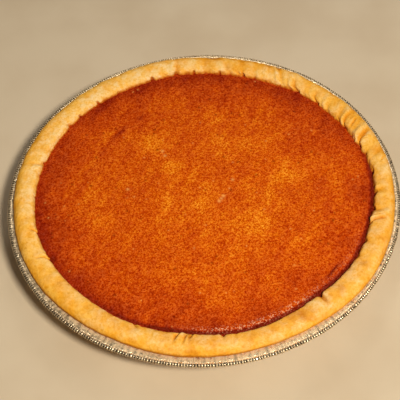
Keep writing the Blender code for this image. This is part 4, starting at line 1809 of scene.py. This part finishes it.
@dataclass
class Studio:
    """A lamp high in front and a little to the right, a weak one behind, and a dim surround for the foil."""

    lamps: tuple[Lamp, ...] = (
        Lamp("key", (0.29, -0.68, 1.01), 0.16, 14.9, (1.0, 0.96, 0.90)),
        Lamp("back", (0.1, 0.95, 1.3), 0.34, 1.8, (1.0, 0.97, 0.94)),
        Lamp("wall", (0.35, 1.3, 0.45), 0.4, 1.8, (1.0, 0.97, 0.94)))
    surround: tuple[tuple[float, Colour], ...] = (  # (place in the ramp from low to high, colour)
        (0.45, (0.012, 0.011, 0.010)), (0.82, (0.17, 0.155, 0.133)))

    def build(self) -> None:
        """Lights the scene."""
        for lamp in self.lamps:
            lamp.build()
        world = bpy.data.worlds.new("studio")
        bpy.context.scene.world = world
        world.use_nodes = True
        nodes, links = world.node_tree.nodes, world.node_tree.links
        direction = nodes.new("ShaderNodeTexCoord").outputs["Generated"]
        split = nodes.new("ShaderNodeSeparateXYZ")
        ramp = nodes.new("ShaderNodeValToRGB")
        links.new(direction, split.inputs[0])
        links.new(split.outputs["Z"], ramp.inputs["Fac"])
        for element, (position, colour) in zip(ramp.color_ramp.elements, self.surround):
            element.position, element.color = position, (*colour, 1.0)
        links.new(ramp.outputs["Color"], nodes["Background"].inputs["Color"])


@dataclass
class Viewpoint:
    """A hand-held camera in front of the pie, looking down on it and tipped a little."""

    flange: float  # height of the pan's flange
    above: float = 1.4 * MM  # how far above the flange it looks
    elevation: float = 52.3  # degrees
    roll: float = 3.45  # degrees
    distance: float = 0.685
    lens: float = 99.0  # mm
    sensor: float = 36.0  # mm
    nearest: float = 0.01
    aside: tuple[float, float] = (-2.2 * MM, -5.9 * MM)  # x and y of the point that it looks at

    def build(self) -> bpy.types.Object:
        """Makes the camera and hands it to the scene.

        Returns:
            The camera.
        """
        tilt, tip = math.radians(self.elevation), math.radians(self.roll)
        ahead = Vector((0, math.cos(tilt), -math.sin(tilt)))
        level = Vector((1, 0, 0))
        upright = level.cross(ahead)
        right = level * math.cos(tip) - upright * math.sin(tip)
        up = level * math.sin(tip) + upright * math.cos(tip)
        lens = bpy.data.cameras.new("camera")
        lens.lens, lens.sensor_width, lens.clip_start = self.lens, self.sensor, self.nearest
        camera = bpy.data.objects.new("camera", lens)
        bpy.context.scene.collection.objects.link(camera)
        pose = Matrix((right, up, -ahead)).transposed().to_4x4()
        pose.translation = Vector((*self.aside, self.flange + self.above)) - ahead * self.distance
        camera.matrix_world = pose
        bpy.context.scene.camera = camera
        return camera


def main() -> None:
    """Builds the pie, its counter, its light and its camera."""
    logging.basicConfig(level=logging.INFO, format="%(name)s: %(message)s")
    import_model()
    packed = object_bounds()
    pan = PanForm.from_frame()
    rim = RimForm(seat=pan.flange_height + CONTACT)
    shell = PastryShell(rim, pan, top=packed[1].z)
    for maker in (FoilPan(pan), shell, Filling(rim, shell)):
        piece = maker.build()
        log.info("%s: %d faces", piece.name, len(piece.data.polygons))
    Counter().build()
    Studio().build()
    Viewpoint(pan.flange_height).build()
    bpy.context.scene.view_settings.view_transform = "Standard"


if __name__ == "__main__":
    main()
